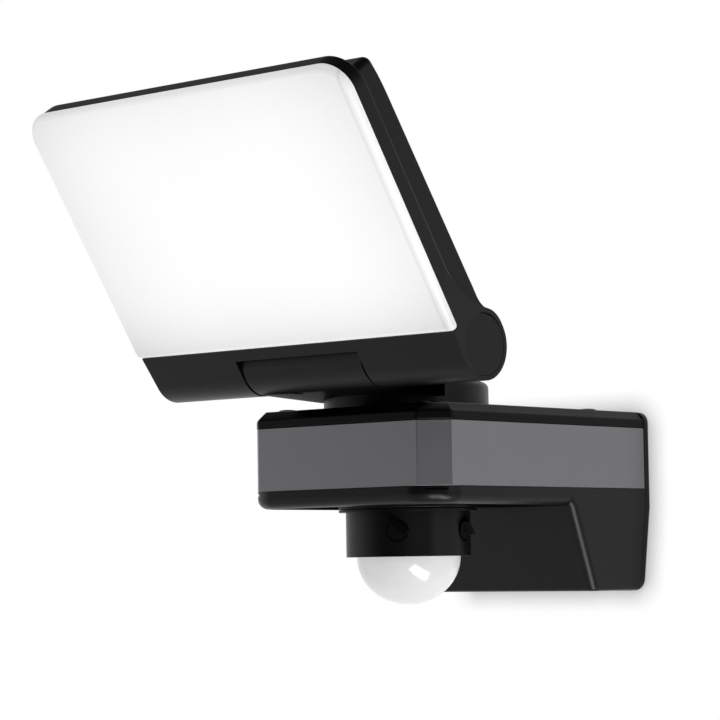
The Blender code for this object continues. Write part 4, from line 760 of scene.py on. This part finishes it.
# Back cover. A black lid over the head's back, a little smaller than the frame and deeper at its
# foot, held by four screws in wells.
BACK_TOP, BACK_HALF, BACK_FRONT, BACK_LEAN = 127.7, 87.1, FRAME_REAR + 0.3, 2.2
BACK_CORNER, BACK_EDGE = 3.4, 2.1
back_outline = (
    (BACK_FRONT, BACK_LOW), (BARREL_BACK, BACK_LOW),
    (BARREL_BACK - BACK_LEAN, BACK_TOP), (BACK_FRONT, BACK_TOP),
)
shape = prism([(-BACK_HALF, y, z) for y, z in back_outline], (2 * BACK_HALF, 0, 0))
rounded(shape, BACK_CORNER, 6, lambda a, b: min(a.z, b.z) > BACK_TOP - 1 and abs(a.y - b.y) > 2)
rounded(shape, BACK_EDGE, 5, lambda a, b: min(a.y, b.y) > FRAME_REAR + 2 and min(a.z, b.z) > BACK_TOP - 5)
back = piece_of("back_lid", shape, black)
WELL, WELL_FLOOR, WELL_TOP, BACK_SCREW, BACK_SCREW_HIGH = 3.1, 4.0, 12.0, 2.8, 1.2
BACK_SCREWS = [(x, z) for z in (34.3, 118.3) for x in (-77, 77)]
for x, z in BACK_SCREWS:
    changed(back, cylinder(WELL, (x, WELL_FLOOR, z), (x, WELL_TOP, z), 40), "DIFFERENCE")
softened(back, 0.5, 3)
mounted(back, "head", ["back_cover"], HEAD_PLACE)
for number, (x, z) in enumerate(BACK_SCREWS):
    head = cross_screw(f"back_fixing_{number + 1}", BACK_SCREW, BACK_SCREW_HIGH, black_steel)
    seat = Matrix.Translation(Vector((x, WELL_FLOOR, z)) * MM)
    place = HEAD_PLACE @ seat @ Matrix.Rotation(math.radians(-90), 4, "X")
    mounted(head, "head", [f"back_screw_{number + 1}"], place)

# Sensor. A thin fixed ring under the floor, and a black collar that turns against it and holds
# the opal lens by a lip. A clip on its neck, inside the housing, keeps it up.
SENSOR_PLACE = Matrix.Translation((0, PAN_Y * MM, 0))
RING, RING_BORE, RING_TOP, RING_FOOT = 30.2, 14.3, -0.2, -2.75
profile = ((RING_BORE, RING_TOP), (RING, RING_TOP), (RING, RING_FOOT), (RING_BORE, RING_FOOT))
ring = piece_of("sensor_seat", turned(profile, ring=True), black)
softened(ring, 0.25, 2)
mounted(ring, "base", ["sensor_ring"], SENSOR_PLACE)
COLLAR, COLLAR_BORE, COLLAR_FOOT, COLLAR_ROOF = 27.1, 24.6, -23.6, -7.1
FLANGE_TOP, FLANGE_FOOT, NECK, NECK_BORE, NECK_TOP = -3.15, -4.2, 14.0, 11.5, 3.0
LENS_LIP, LENS_LIP_TOP, KNOB_Z = 22.9, COLLAR_FOOT + 2, -12.5
RECESS, RECESS_FLOOR, RECESS_END = 4.9, 25.9, COLLAR + 4.9
profile = (
    (NECK_BORE, NECK_TOP), (NECK, NECK_TOP), (NECK, FLANGE_TOP), (RING, FLANGE_TOP), (RING, FLANGE_FOOT),
    (COLLAR, FLANGE_FOOT), (COLLAR, COLLAR_FOOT), (LENS_LIP, COLLAR_FOOT), (LENS_LIP, LENS_LIP_TOP),
    (COLLAR_BORE, LENS_LIP_TOP), (COLLAR_BORE, COLLAR_ROOF), (NECK_BORE, COLLAR_ROOF),
)
collar = piece_of("sensor_barrel", turned(profile, 128, ring=True), black)
KNOBS = {"time": math.radians(30), "light": math.radians(103)}
for angle in KNOBS.values():
    out = Vector((math.sin(angle), -math.cos(angle), 0))
    middle = Vector((0, 0, KNOB_Z))
    recess = cylinder(RECESS, middle + out * RECESS_FLOOR, middle + out * RECESS_END, 48)
    changed(collar, recess, "DIFFERENCE")
softened(collar, 0.35, 3)
mounted(collar, "sensor", ["sensor_collar"], SENSOR_PLACE)

# Lens. A milky dome of polyethylene with a slight gloss, standing out through the collar's lip, with a
# painted glow that evens out its light and shade. It hides the sensor behind it.
lens, shader, where = material("milky_lens")
haze = where.make("TexNoise", {}, {"Vector": where, "Scale": 120.0, "Detail": 3.0}, "Fac")
haze.mixed((0.22, 0.22, 0.22, 1), (0.25, 0.25, 0.25, 1)).feed(shader.inputs["Base Color"])
# Painted glow: an even emission that lifts the whole dome, in place of light.
haze.mixed((0.44, 0.44, 0.44, 1), (0.46, 0.46, 0.46, 1)).feed(shader.inputs["Emission Color"])
shader.inputs["Emission Strength"].default_value = 1.0
(0.3 + haze * 0.1).feed(shader.inputs["Roughness"])
shader.inputs["Specular IOR Level"].default_value = 0.1
shader.inputs["Coat Weight"].default_value = 0.6
shader.inputs["Coat Roughness"].default_value = 0.03
shader.inputs["Subsurface Weight"].default_value = 0.6
shader.inputs["Subsurface Radius"].default_value = (1, 1, 1)
shader.inputs["Subsurface Scale"].default_value = 0.008
DOME, DOME_DEPTH, DOME_WALL = 22.6, 20.7, 3
shape = bmesh.new()
bmesh.ops.create_uvsphere(shape, u_segments=96, v_segments=64, radius=1)
bmesh.ops.bisect_plane(
    shape, geom=[*shape.verts, *shape.edges, *shape.faces], plane_co=(0, 0, 0), plane_no=(0, 0, 1),
    clear_outer=True,
)
rim = [edge for edge in shape.edges if edge.is_boundary]
bmesh.ops.scale(shape, vec=(DOME, DOME, DOME_DEPTH), verts=shape.verts)
bmesh.ops.translate(shape, verts=shape.verts, vec=(0, 0, COLLAR_FOOT))
wall = bmesh.ops.extrude_edge_only(shape, edges=rim)["geom"]
upper = [part for part in wall if isinstance(part, bmesh.types.BMVert)]
bmesh.ops.translate(shape, verts=upper, vec=(0, 0, DOME_WALL))
bmesh.ops.holes_fill(shape, edges=[edge for edge in shape.edges if edge.is_boundary])
dome = piece_of("opal_dome", shape, lens)
mounted(dome, "sensor", ["sensor_dome"], SENSOR_PLACE)

# Setting knobs. Small black discs in round recesses of the collar, each with a wedge-shaped grip to
# turn it and a dimple in the middle, on the shafts of two controls behind the wall.
DIAL, DIAL_FACE, DIAL_BACK, SHAFT, SHAFT_END, DIMPLE, DIMPLE_FLOOR = 3.9, 27.4, 26.2, 1.5, 23.8, 0.7, 26.9
GRIP_SIZE, GRIP_SLOPE, GRIP_PLACE, GRIP_TURN = (2.9, 8.4, 4.1), 2.6, (2.4, 0, 28.95), math.radians(50)
profile = (
    (0, DIMPLE_FLOOR), (DIMPLE, DIMPLE_FLOOR), (DIMPLE, DIAL_FACE), (DIAL, DIAL_FACE), (DIAL, DIAL_BACK),
    (SHAFT, DIAL_BACK), (SHAFT, SHAFT_END), (0, SHAFT_END),
)
for word, angle in KNOBS.items():
    knob = piece_of(word + "_dial", turned(profile, 48), black)
    grip = bmesh.new()
    bmesh.ops.create_cube(grip, size=1)
    bmesh.ops.scale(grip, vec=GRIP_SIZE, verts=grip.verts)
    low_edge = [point for point in grip.verts if point.co.x > 0 and point.co.z > 0]
    bmesh.ops.translate(grip, verts=low_edge, vec=(0, 0, -GRIP_SLOPE))
    bmesh.ops.translate(grip, verts=grip.verts, vec=GRIP_PLACE)
    bmesh.ops.rotate(grip, verts=grip.verts, matrix=Matrix.Rotation(GRIP_TURN, 3, "Z"))
    changed(knob, grip, "UNION")
    softened(knob, 0.35, 3)
    out = Vector((math.sin(angle), -math.cos(angle), 0))
    turn = out.to_track_quat("Z", "Y").to_matrix().to_4x4()
    place = Matrix.Translation(Vector((0, PAN_Y, KNOB_Z)) * MM) @ turn
    mounted(knob, word + "_setting", [word + "_knob"], place)
